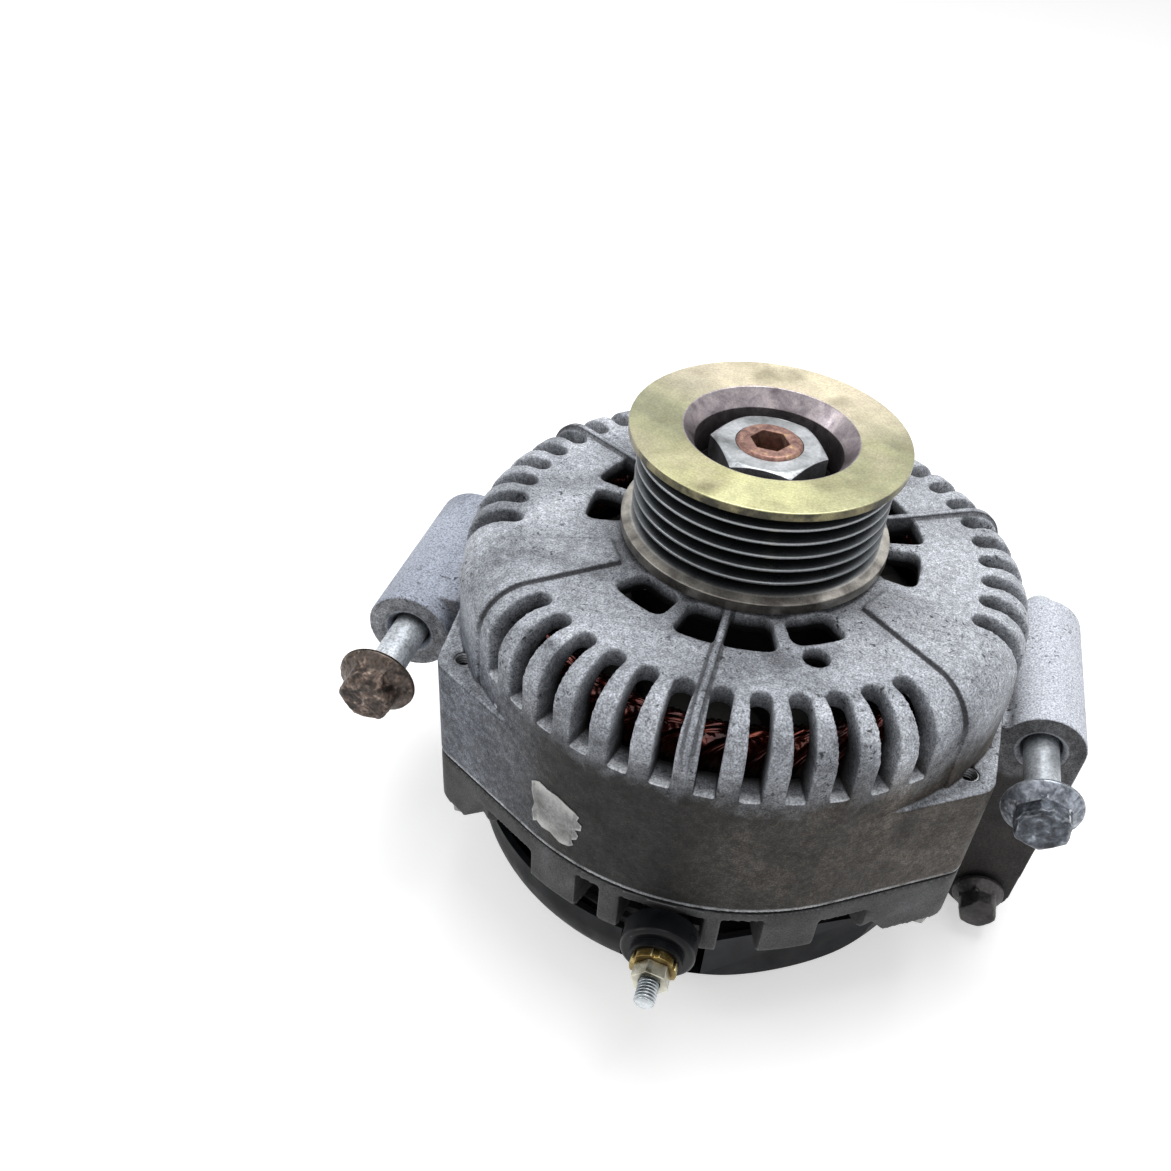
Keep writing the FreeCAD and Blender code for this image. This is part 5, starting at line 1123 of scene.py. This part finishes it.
def worn_head(node, x, z, shank, skin, rusted):
    # The head alone: its tip is worn blunt, rust has eaten into its skin, and its corners are rounded
    body = flattened(node)
    tip = min(vert.co.y for vert in body.verts)
    outer = [vert for vert in body.verts if vert.co.y < tip + HEAD_WORN_L]
    corner = max(math.hypot(vert.co.x - x, vert.co.z - z) for vert in outer)
    bmesh.ops.bisect_plane(
        body, geom=body.verts[:] + body.edges[:] + body.faces[:],
        plane_co=Vector((x, tip + HEAD_WORN_L, z)), plane_no=Vector((0, 1, 0)), dist=1e-7)
    for vert in body.verts:
        if vert.co.y < tip + HEAD_WORN_L / 2:
            vert.co.x = x + (vert.co.x - x) * HEAD_WORN_SHARE
            vert.co.z = z + (vert.co.z - z) * HEAD_WORN_SHARE
    cut_off(body, Vector((x, shank - HEAD_LAP, z)), Vector((0, 1, 0)))
    lumpy = final_mesh(as_cast(body, node + "_head", skin, HEAD_STEP, HEAD_SOFTENING))
    spots = [(Vector(vert.co), Vector(vert.normal)) for vert in lumpy.vertices]
    for vert, (spot, outward) in zip(lumpy.vertices, spots):
        lump = min(1.0, max(-1.0, turbulence(spot * LUMP_SCALE, 3, False)))
        spot -= outward * rusted * (1 - lump) / 2
        off = math.hypot(spot.x - x, spot.z - z)
        if spot.y < shank - FLANGE_DEPTH - END_LAP and off > corner * HEAD_ROUND:
            spot.x = x + (spot.x - x) * corner * HEAD_ROUND / off
            spot.z = z + (spot.z - z) * corner * HEAD_ROUND / off
        vert.co = spot
    return lumpy


def mounting_bolt(side, x, z, shank, thread_y, form, skin, rusted, slot):
    # The head is worn and rusted, the shank and the plain nose are kept, and a real thread takes the
    # place of the wall between them
    node = side + "_mount_bolt"
    start, end = thread_y
    made = eased_body(node, BOLT_EDGE)
    cut_off(made, Vector((x, shank - HEAD_LAP, z)), Vector((0, -1, 0)))
    cut_off(made, Vector((x, start + SHANK_LAP, z)), Vector((0, 1, 0)))
    lumpy = worn_head(node, x, z, shank, skin, rusted)
    made.from_mesh(lumpy)
    bpy.data.meshes.remove(lumpy)
    nose = eased_body(node, NOSE_EDGE)
    cut_off(nose, Vector((x, end - END_LAP, z)), Vector((0, -1, 0)))
    add_body(made, nose)
    along = Matrix.Translation((x, 0, z)) @ Matrix.Rotation(math.radians(-90), 4, "X")
    add_thread(made, *form, start, end, along)
    for face in made.faces:
        face.smooth = True
    fit(evened(shown(made, node + "_threaded", skin)), side + "_bolt", slot, node)


rusty_head = patches(
    520.0, (0.3, 18, 15, 14), (0.42, 48, 40, 35), (0.54, 84, 70, 62), (0.66, 134, 118, 108),
    (0.78, 190, 176, 166))
grey_head = patches(
    420.0, (0.3, 32, 34, 38), (0.46, 62, 66, 73), (0.62, 96, 102, 111), (0.76, 168, 174, 182))
dark_head = patches(120.0, (0.28, 46, 44, 44), (0.5, 72, 70, 70), (0.7, 96, 94, 92))
left_steel = finish(
    "left_bolt_steel", bolt_colours(LEFT_SHANK_Y, rusty_head, (92, 82, 76)), metallic=0.5, rough=(0.4, 0.6),
    grain=(1500.0, 0.35, 0.07), worn=((176, 160, 146), 0.53, 0.62),
    grime_and_shade=((20, 15, 13), 0.003, 0.8), pits=0.6)
right_steel = finish(
    "right_bolt_steel", bolt_colours(RIGHT_SHANK_Y, grey_head, (172, 178, 189)), metallic=0.6,
    rough=(0.34, 0.52), grain=(1500.0, 0.25, 0.03), worn=((214, 219, 225), 0.51, 0.57),
    grime_and_shade=((34, 32, 32), 0.004, 0.7))
lower_steel = finish(
    "lower_bolt_steel", bolt_colours(LOWER_SHANK_Y, dark_head, (78, 76, 75)), metallic=0.7,
    rough=(0.4, 0.58), grain=(1300.0, 0.2, 0.03), worn=((142, 140, 138), 0.53, 0.62),
    grime_and_shade=((26, 22, 20), 0.004, 0.8))
mounting_bolt(
    "left", -TUBE_X, TUBE_Z, LEFT_SHANK_Y, LEFT_THREAD_Y, BIG_THREAD, left_steel, LEFT_RUST, "rusty_steel")
mounting_bolt(
    "right", TUBE_X, TUBE_Z, RIGHT_SHANK_Y, RIGHT_THREAD_Y, BIG_THREAD, right_steel, RIGHT_RUST,
    "zinc_steel")
mounting_bolt(
    "lower", TUBE_X, ARM_Z, LOWER_SHANK_Y, LOWER_THREAD_Y, SMALL_THREAD, lower_steel, LOWER_RUST,
    "zinc_steel")

# Floor, light and camera
# A white table under plain soft light: one wide lamp overhead, one at the left and a weak one at the
# front, seen from the photograph's own place.

FLOOR_Z = -0.0002
FLOOR_HALF = 6.0
AIM = Vector((-0.01688012, -0.00928031, 0.06738378))
DISTANCE = 0.29330474
AZIMUTH = math.radians(8.74217714608711)
ELEVATION = math.radians(41.505558845499074)
ROLL = math.radians(7.419213198310601)
SENSOR = 36.0
PHOTO_SIDE = 1171.0
FOCAL_PIXELS = 1129.1838
CENTRE_PIXELS = (662.6432, 651.4338)
ROOM_LIGHT = 0.45


def white_to_the_eye(tree):
    # 1 for what the camera, a gloss or a glass sees, and 0 for light that falls on the object
    path = put("LightPath", {}, tree).outputs
    seen = reckon("MAXIMUM", path["Is Camera Ray"], path["Is Glossy Ray"])
    return reckon("MAXIMUM", seen, path["Is Transmission Ray"])


world = bpy.data.worlds.new("white_room")
bpy.context.scene.world = world
world.use_nodes = True
world.node_tree.nodes.clear()
light = reckon("ADD", times(white_to_the_eye(world.node_tree), 1 - ROOM_LIGHT), ROOM_LIGHT)
sky = put("Background", {"Color": (1.0, 1.0, 1.0, 1.0), "Strength": light})
put("OutputWorld", {0: sky.outputs[0]})

table = bmesh.new()
bmesh.ops.create_grid(table, x_segments=8, y_segments=8, size=FLOOR_HALF)
bmesh.ops.translate(table, verts=table.verts[:], vec=(0, 0, FLOOR_Z))
paper = bpy.data.materials.new("white_table")
paper.use_nodes = True
paper.node_tree.nodes.clear()
matt = put("BsdfDiffuse", {"Color": tone(236, 236, 236)}, paper.node_tree)
lift = put("Emission", {"Strength": times(white_to_the_eye(paper.node_tree), 0.5)})
both = put("AddShader", {0: matt.outputs[0], 1: lift.outputs[0]})
put("OutputMaterial", {0: both.outputs[0]})
floor = shown(table, "white_table", paper)


def lamp(name, place, aim, side, power):
    made = bpy.data.lights.new(name, "AREA")
    made.shape = "SQUARE"
    made.size = side
    made.energy = power
    holder = set_out(name, made)
    holder.location = place
    holder.rotation_mode = "QUATERNION"
    holder.rotation_quaternion = (Vector(aim) - Vector(place)).to_track_quat("-Z", "Y")


lamp("overhead_lamp", (0.06, 0.22, 0.95), (0.0, 0.0, 0.08), 0.6, 6.2)
lamp("left_lamp", (-0.95, -0.25, 0.55), (0.0, 0.0, 0.07), 0.5, 1.8)
lamp("front_lamp", (0.35, -0.95, 0.45), (0.0, 0.0, 0.06), 0.6, 0.6)

back = Vector(
    (math.sin(AZIMUTH) * math.cos(ELEVATION), -math.cos(AZIMUTH) * math.cos(ELEVATION), math.sin(ELEVATION)))
level = (-back).cross(Vector((0, 0, 1))).normalized()
upright = level.cross(-back)
right = level * math.cos(ROLL) + upright * math.sin(ROLL)
up = upright * math.cos(ROLL) - level * math.sin(ROLL)
eye = bpy.data.cameras.new("eye")
eye.sensor_width = SENSOR
eye.lens = FOCAL_PIXELS / PHOTO_SIDE * SENSOR
eye.shift_x = (PHOTO_SIDE / 2 - CENTRE_PIXELS[0]) / PHOTO_SIDE
eye.shift_y = (CENTRE_PIXELS[1] - PHOTO_SIDE / 2) / PHOTO_SIDE
eye.clip_start = 0.01
eye.clip_end = 50.0
camera = set_out("camera", eye)
turned = Matrix((right, up, back)).transposed().to_4x4()
camera.matrix_world = Matrix.Translation(AIM + back * DISTANCE) @ turned
bpy.context.scene.camera = camera
bpy.context.scene.view_settings.view_transform = "Standard"
